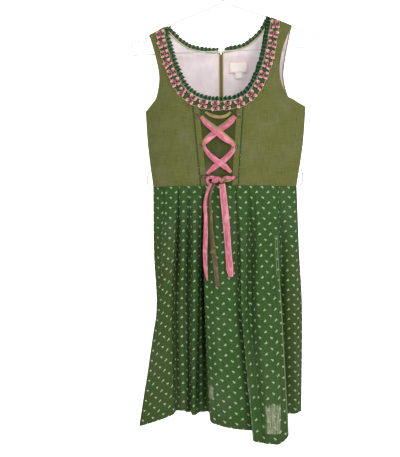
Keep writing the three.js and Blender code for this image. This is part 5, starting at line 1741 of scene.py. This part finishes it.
class DRESS_OT_lacing(bpy.types.Operator):
    """Lace the front with two satin ribbons over olive ones, and tie the knot"""

    bl_idname = "dress.lacing"
    bl_label = "Lacing"

    def execute(self, context):
        for key, stops, shift in (("left", LACE_LEFT, (2.6, 2.4)), ("right", LACE_RIGHT, (-2.6, 1.8))):
            under, _ = lace("olive_under_" + key, stops, "olive", 0.75, shift, 1.0, 0.6)
            settle(under, "olive_ribbon")
            pink, length = lace("satin_lace_" + key, stops, "pink")
            settle(pink, "pink_satin", "lace_" + key)
            cut_to(pink, PINK_WIDTH, length, None, "stretched", *TOP_HOOKS)
            cut_to(under, OLIVE_WIDTH, length, None, "stretched", "satin_lace_" + key)
        loop, length = lace("olive_top_loop", OLIVE_LOOP, "olive", curl=1.0)
        settle(loop, "olive_ribbon", "olive_loop")
        cut_to(loop, LOOP_WIDTH, length, None, "hung", *TOP_HOOKS)
        wraps = []
        middle, _ = on_bodice(-1, KNOT["x"], KNOT["z"], KNOT["lift"])
        angle = 2 * np.pi * np.linspace(0, 1, 46)
        for start, slant, half_z, width, colour in (
            (-6.0, 2.4, 7.0, 12.5, "pink"), (4.2, -3.2, 6.0, 8.5, "pink"), (10.5, 1.2, 4.8, 6.5, "olive"),
        ):
            x = middle[0] + start + slant * np.sin(angle)
            centre = np.stack([x, middle[1] - 5.0 * np.cos(angle), middle[2] + half_z * np.sin(angle)], -1)
            outward = np.stack([0 * angle, -np.cos(angle), np.sin(angle)], -1)
            bend = 1.7 + 0.7 * np.sin(3 * angle)
            wraps.append(ribbon("wrap", centre, outward, np.full(46, width), 0.45, finish(colour), bend))
        for stops, width, colour in KNOT_LOOPS:
            route = open_curve(stops, 12)
            centre, normals = on_bodice(-1, route[:, 0], route[:, 2], 3.0 - route[:, 1])
            widths = np.full(len(route), float(width))
            wraps.append(ribbon("knot_loop", centre, normals, widths, 0.4, finish(colour), 1.6))
        knot = joined("tied_knot", wraps)
        settle(knot, "pink_satin", "lace_knot")
        cut_to(knot, *CUTS[knot.name], "folded", "skirt_width_front")
        return {"FINISHED"}


class DRESS_OT_thread_loops(bpy.types.Operator):
    """Sew the two thin thread loops at the sides of the waist"""

    bl_idname = "dress.thread_loops"
    bl_label = "Thread loops"

    def execute(self, context):
        for key, points in THREAD_LOOPS.items():
            route = open_curve([(x, 0, z) for x, z in points], 16)
            strands = []
            for phase in (0.0, math.pi):
                angle = np.linspace(0, 2 * np.pi * 16, len(route)) + phase
                offset = np.stack([0.42 * np.cos(angle), 0.42 * np.sin(angle), 0 * angle], -1)
                strands.append(tube("strand", route + offset, 0.75, finish("thread"), sides=1))
            settle(joined("thread_belt_loop_" + key, strands), "thread", "thread_loop_" + key)
        return {"FINISHED"}


# --- Stage ----------------------------------------------------------------------------------------


class DRESS_OT_stage(bpy.types.Operator):
    """Lay a plain pale floor and set soft studio light"""

    bl_idname = "dress.stage"
    bl_label = "Stage"

    def execute(self, context):
        pale = Finish("pale floor", 0.9, specular=0.0)
        x, y, _ = pale.solid_place()
        uneven = pale.cloud((x * 0.001, y * 0.001, 0.0))
        pale.colour(pale.mix(uneven, (0.93, 0.93, 0.93), (0.96, 0.96, 0.96)))
        pale.shader.inputs["Emission Color"].default_value = (1.0, 1.0, 1.0, 1.0)
        for name, place, tilt, glow in (("floor", (0, 0, -1.5), 0, 0.55), ("backdrop", (0, 7, 5), 90, 1.0)):
            bpy.ops.object.select_all(action="DESELECT")
            bpy.ops.mesh.primitive_plane_add(size=30, location=place, rotation=(math.radians(tilt), 0, 0))
            sheet = context.object
            sheet.name = name
            material = pale.material.copy()
            material.node_tree.nodes["Principled BSDF"].inputs["Emission Strength"].default_value = glow
            sheet.data.materials.append(material)
        world = bpy.data.worlds.new("studio")
        world.use_nodes = True
        background = world.node_tree.nodes["Background"]
        background.inputs["Color"].default_value = (1.0, 1.0, 1.0, 1.0)
        background.inputs["Strength"].default_value = 0.42
        context.scene.world = world
        for name, place, size, power in (
            ("key", (1.4, -2.0, 0.65), 0.7, 31.0),
            ("fill", (-0.5, -2.5, 0.2), 1.6, 6.0),
            ("top", (-0.2, -1.7, 1.3), 1.2, 16.0),
        ):
            bpy.ops.object.light_add(type="AREA", location=place)
            light = context.object
            light.name = name
            light.data.size = size
            light.data.energy = power
            aim = Vector((0, 0, -0.45)) - Vector(place)
            light.rotation_euler = aim.to_track_quat("-Z", "Y").to_euler()
        context.scene.view_settings.view_transform = "Standard"
        return {"FINISHED"}


STEPS = (
    DRESS_OT_camera, DRESS_OT_free_ends, DRESS_OT_hanger, DRESS_OT_bodice, DRESS_OT_front_strip,
    DRESS_OT_lining, DRESS_OT_label, DRESS_OT_skirt, DRESS_OT_zip, DRESS_OT_ruffles,
    DRESS_OT_neck_band, DRESS_OT_bows, DRESS_OT_hooks, DRESS_OT_lacing, DRESS_OT_thread_loops,
    DRESS_OT_stage,
)


class DRESS_PT_panel(bpy.types.Panel):
    """The sewing steps, their colours and their sizes"""

    bl_idname = "DRESS_PT_panel"
    bl_label = "Laced Folk Dress"
    bl_space_type = "VIEW_3D"
    bl_region_type = "UI"
    bl_category = "Dress"

    def draw(self, context):
        layout = self.layout
        for step in STEPS:
            layout.operator(step.bl_idname)
        for group in (context.scene.dress_colours, context.scene.dress_sizes):
            for name in group.bl_rna.properties.keys():
                if name not in ("rna_type", "name"):
                    layout.prop(group, name)


CLASSES = (DressColours, DressSizes, *STEPS, DRESS_PT_panel)


def register():
    for cls in CLASSES:
        bpy.utils.register_class(cls)
    bpy.types.Scene.dress_colours = bpy.props.PointerProperty(type=DressColours)
    bpy.types.Scene.dress_sizes = bpy.props.PointerProperty(type=DressSizes)


def unregister():
    del bpy.types.Scene.dress_sizes
    del bpy.types.Scene.dress_colours
    for cls in reversed(CLASSES):
        bpy.utils.unregister_class(cls)


def main():
    """Sews the dress step by step."""
    register()
    for step in STEPS:
        group, name = step.bl_idname.split(".")
        getattr(getattr(bpy.ops, group), name)()


if __name__ == "__main__":
    main()
